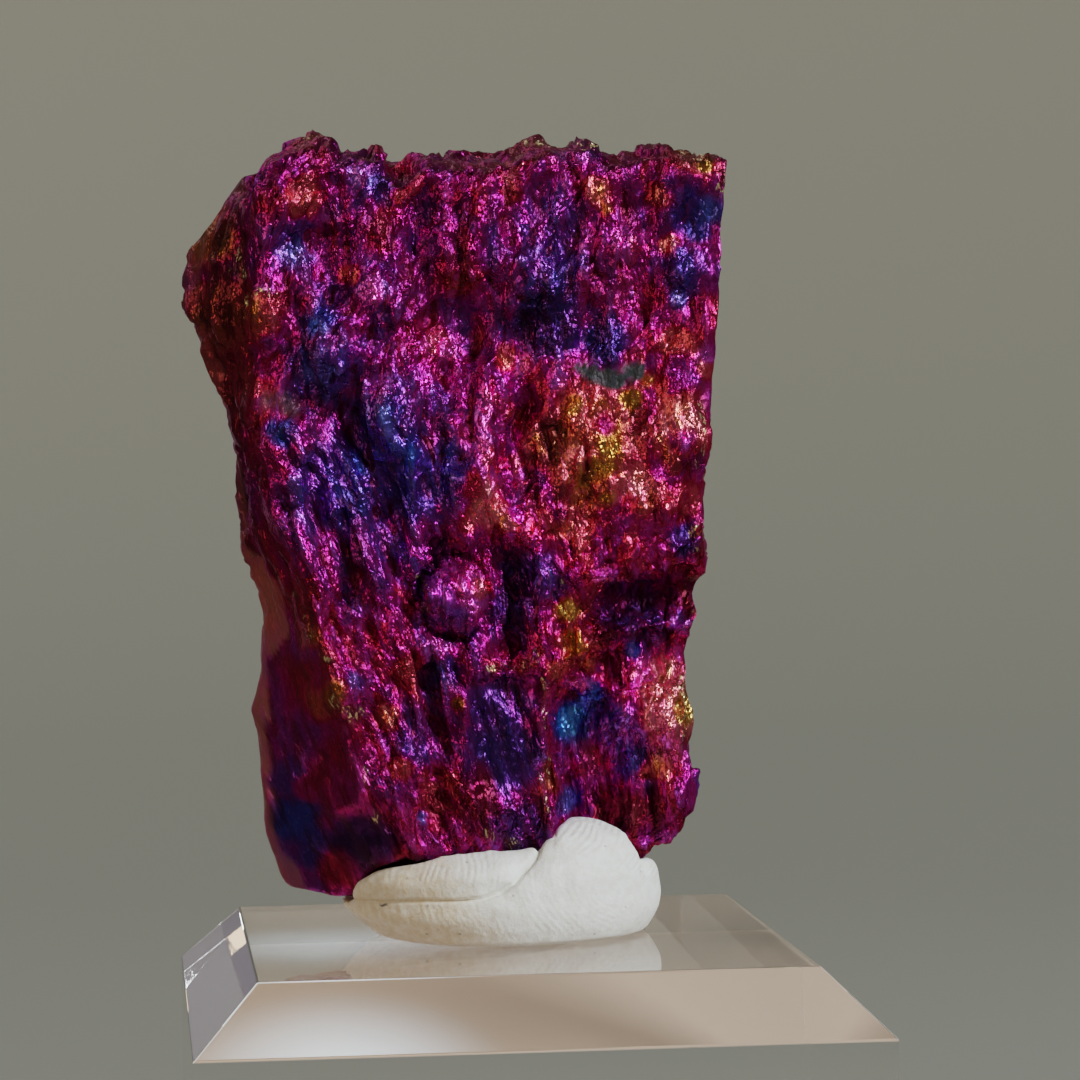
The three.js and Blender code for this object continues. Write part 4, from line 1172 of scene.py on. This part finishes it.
@dataclass(frozen=True)
class SweepFinish:
    """Matt paper of the studio: pale rose under the block, greige round it, with painted light: a glow under and
    behind the block, a lighter patch behind it on the left, and near it lighter to the left and darker to the
    right.
    """

    name: str = "studio_paper"
    TONES = (
        (0.0, srgb(231, 204, 181)),
        (0.085, srgb(231, 204, 181)),
        (0.125, srgb(126, 127, 118)),
        (0.45, srgb(130, 131, 121)),
        (0.9, srgb(165, 161, 145)),
    )
    # Painted light, as a glow of the paper itself, for the light that the clear block throws on the paper under
    # and behind it.
    UNLIT = (0.0, 0.0, 0.0, 1.0)
    SPOT = (0.85, 1.05, 1.2, 1.0)
    GLOW_AT = (-0.0125, 0.0275, 0.0)
    # Painted light on the paper behind the block, to its left.
    PAINTED_LIGHT_BEHIND_LEFT = srgb(188, 180, 192)
    # Painted light and shade near the block: lighter to the left, darker to the right.
    PAINTED_LIGHT_LEFT = (1.24, 1.2, 1.17, 1.0)
    PAINTED_SHADE_RIGHT = (0.8, 0.79, 0.79, 1.0)

    def material(self) -> bpy.types.Material:
        """Builds the material."""
        s = Shader.of_material(self.name)
        place = s.node("ShaderNodeTexCoord", {}, {}, "Object")
        tooth = s.noise(place, 700.0, 3.0)
        reach = s.vector("LENGTH", place, (0.0, 0.0, 0.0), "Value")
        colour = s.ramp((reach * 1.2).clipped(), self.TONES)
        across = s.node("ShaderNodeSeparateXYZ", {}, {"Vector": place})
        behind = s.node("ShaderNodeSeparateXYZ", {}, {"Vector": place}, "Y").between(0.15, 0.25)
        # Painted light on the paper behind the block, to its left.
        colour = s.mix((1.0 - across.between(-0.09, -0.06)) * behind, colour, self.PAINTED_LIGHT_BEHIND_LEFT)
        # Painted light and shade near the block: lighter to the left, darker to the right.
        slant = s.mix(across.between(-0.03, 0.03), self.PAINTED_LIGHT_LEFT, self.PAINTED_SHADE_RIGHT)
        near = 1.0 - reach.between(0.05, 0.09)
        colour = s.mix(near, colour, s.mix(1.0, colour, slant, "MULTIPLY"))
        # Painted light: the paper glows under the block and in a spot behind it.
        under = (1.0 - reach.between(0.024, 0.038)) * (across.between(-0.01, 0.015) * 0.16 + 0.05)
        spot = s.vector("LENGTH", s.vector("SUBTRACT", place, self.GLOW_AT), (0.0, 0.0, 0.0), "Value")
        glow = s.mix(under, self.UNLIT, self.TONES[0][1])
        glow = s.mix(1.0 - spot.between(0.0, 0.016), glow, self.SPOT)
        return s.finish(
            {
                "Base Color": colour,
                "Emission Color": glow,
                "Emission Strength": 1.0,
                "Roughness": 0.9,
                "Normal": s.bump(tooth, 0.00005),
            }
        )


@dataclass(frozen=True)
class Softbox:
    """A soft lamp that looks at the ore.

    Attributes:
        name: The lamp's name.
        place: Where it hangs, metres.
        size: Its sides, metres.
        watts: Its power.
        colour: Its colour.
    """

    name: str
    place: tuple[float, float, float]
    size: tuple[float, float]
    watts: float
    colour: tuple[float, float, float]

    def hang(self, target: Vector) -> None:
        """Hangs the lamp and turns it to the target."""
        lamp = bpy.data.lights.new(self.name, "AREA")
        lamp.shape = "RECTANGLE"
        lamp.size, lamp.size_y = self.size
        lamp.energy = self.watts
        lamp.color = self.colour
        holder = bpy.data.objects.new(self.name, lamp)
        holder.location = self.place
        holder.rotation_euler = (target - Vector(self.place)).to_track_quat("-Z", "Y").to_euler()
        holder.visible_camera = False
        bpy.context.scene.collection.objects.link(holder)


@dataclass
class Studio:
    """A pale paper sweep round the object, soft lamps and the camera."""

    pad_radius: float = 0.09
    mirror_angle: float = 34.0
    floor_radius: float = 0.26
    sweep_radius: float = 0.5
    wall_height: float = 0.9
    steps: int = 72
    finish: SweepFinish = field(default_factory=SweepFinish)
    softboxes: tuple[Softbox, ...] = (
        Softbox("key", (0.42, -0.38, 0.40), (0.22, 0.22), 4.85, (0.9, 0.96, 1.0)),
        Softbox("left fill", (-0.5, -0.34, 0.22), (0.3, 0.3), 0.8, (1.0, 0.72, 0.46)),
        Softbox("overhead", (-0.26, 0.26, 0.62), (0.5, 0.4), 1.5, (1.0, 0.97, 0.93)),
    )

    DIM = (0.008, 0.005, 0.006, 1.0)
    PAPER_LIGHT = (0.06, 0.053, 0.046, 1.0)

    # The camera: where it stands, and how it is turned, as yaw, pitch and roll in degrees.
    eye: tuple[float, float, float] = (-0.02911, -0.27296, 0.06912)
    turn: tuple[float, float, float] = (6.6265, 1.8106, -0.6448)
    lens: float = 118.98
    sensor: float = 36.0

    def build(self, target: Vector) -> None:
        """Builds the sweep, the lamps and the camera.

        Args:
            target: The point that the lamps look at.
        """
        material = self.finish.material()
        profile = self._profile()
        near = [p for p in profile if p[0] <= self.pad_radius]
        beyond = [p for p in profile if p[0] >= self.pad_radius]
        behind, opening = math.pi / 2, math.radians(self.mirror_angle)
        for name, points, first, last, mirrored in (
            ("pad", near, 0.0, 2 * math.pi, False),
            ("paper_behind", beyond, behind - opening, behind + opening, True),
            ("paper_round", beyond, behind + opening, behind - opening + 2 * math.pi, False),
        ):
            part = self._sweep(name, points, first, last)
            part.data.materials.append(material)
            part.visible_glossy = mirrored
        for softbox in self.softboxes:
            softbox.hang(target)
        bpy.context.scene.world = self._room()
        bpy.context.scene.view_settings.view_transform = "Filmic"
        self._camera()

    def _room(self) -> bpy.types.World:
        """The room beyond the paper: dim where the ore mirrors it, as light as the paper in clear things."""
        world = bpy.data.worlds.new("studio_room")
        s = Shader(world)
        bounces = s.node("ShaderNodeLightPath", {}, {}, "Ray Depth")
        colour = s.mix(bounces.between(1.0, 2.0), self.DIM, self.PAPER_LIGHT)
        surface = s.node("ShaderNodeBackground", {}, {"Color": colour, "Strength": 1.0})
        s.raw("ShaderNodeOutputWorld", {}, {"Surface": surface})
        return world

    def _profile(self) -> list[tuple[float, float]]:
        """The sweep's section, as (radius, height) points from the middle outwards."""
        bend = [
            (self.floor_radius + self.sweep_radius * math.sin(a), self.sweep_radius * (1 - math.cos(a)))
            for a in np.linspace(0, math.pi / 2, 24)
        ]
        wall = (self.floor_radius + self.sweep_radius, self.wall_height)
        return [(0.0, 0.0), (self.pad_radius, 0.0), *bend, wall]

    def _sweep(
        self, name: str, profile: Sequence[tuple[float, float]], first: float, last: float
    ) -> bpy.types.Object:
        """Turns part of the section between two angles.

        Args:
            name: The part's name.
            profile: (radius, height) points, metres.
            first, last: The angles, in radians.
        """
        turns = np.linspace(first, last, self.steps + 1)
        verts = [(r * math.cos(t), r * math.sin(t), h - 0.0002) for t in turns for r, h in profile]
        row = len(profile)
        faces = [
            (i * row + j, (i + 1) * row + j, (i + 1) * row + j + 1, i * row + j + 1)
            for i in range(self.steps)
            for j in range(row - 1)
        ]
        mesh = bpy.data.meshes.new(name)
        mesh.from_pydata(verts, [], faces)
        mesh.shade_smooth()
        part = bpy.data.objects.new(name, mesh)
        bpy.context.scene.collection.objects.link(part)
        return part

    def _camera(self) -> None:
        """Sets up the camera."""
        yaw, pitch, roll = (math.radians(a) for a in self.turn)
        ahead = Vector((math.sin(yaw) * math.cos(pitch), math.cos(yaw) * math.cos(pitch), -math.sin(pitch)))
        level = Vector((math.cos(yaw), -math.sin(yaw), 0.0))
        upright = level.cross(ahead)
        right = level * math.cos(roll) + upright * math.sin(roll)
        up = upright * math.cos(roll) - level * math.sin(roll)
        lens = bpy.data.cameras.new("camera")
        lens.lens = self.lens
        lens.sensor_width = self.sensor
        lens.clip_start = 0.01
        camera = bpy.data.objects.new("camera", lens)
        turned = Matrix((right, up, -ahead)).transposed().to_4x4()
        camera.matrix_world = Matrix.Translation(self.eye) @ turned
        bpy.context.scene.collection.objects.link(camera)
        bpy.context.scene.camera = camera


def main() -> None:
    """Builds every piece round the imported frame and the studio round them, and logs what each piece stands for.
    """
    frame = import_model()
    block_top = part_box("acrylic_block")[1].z
    for part in (PeacockOre(floor=block_top), MineralTack(floor=block_top), DisplayBlock()):
        piece = part.build(frame["nodes"][part.node])
        part.dress(piece)
        LOG.info("%s stands for %s", piece.name, part.node)
    low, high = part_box("peacock_ore")
    Studio().build((low + high) / 2)


if __name__ == "__main__":
    logging.basicConfig(level=logging.INFO)
    main()
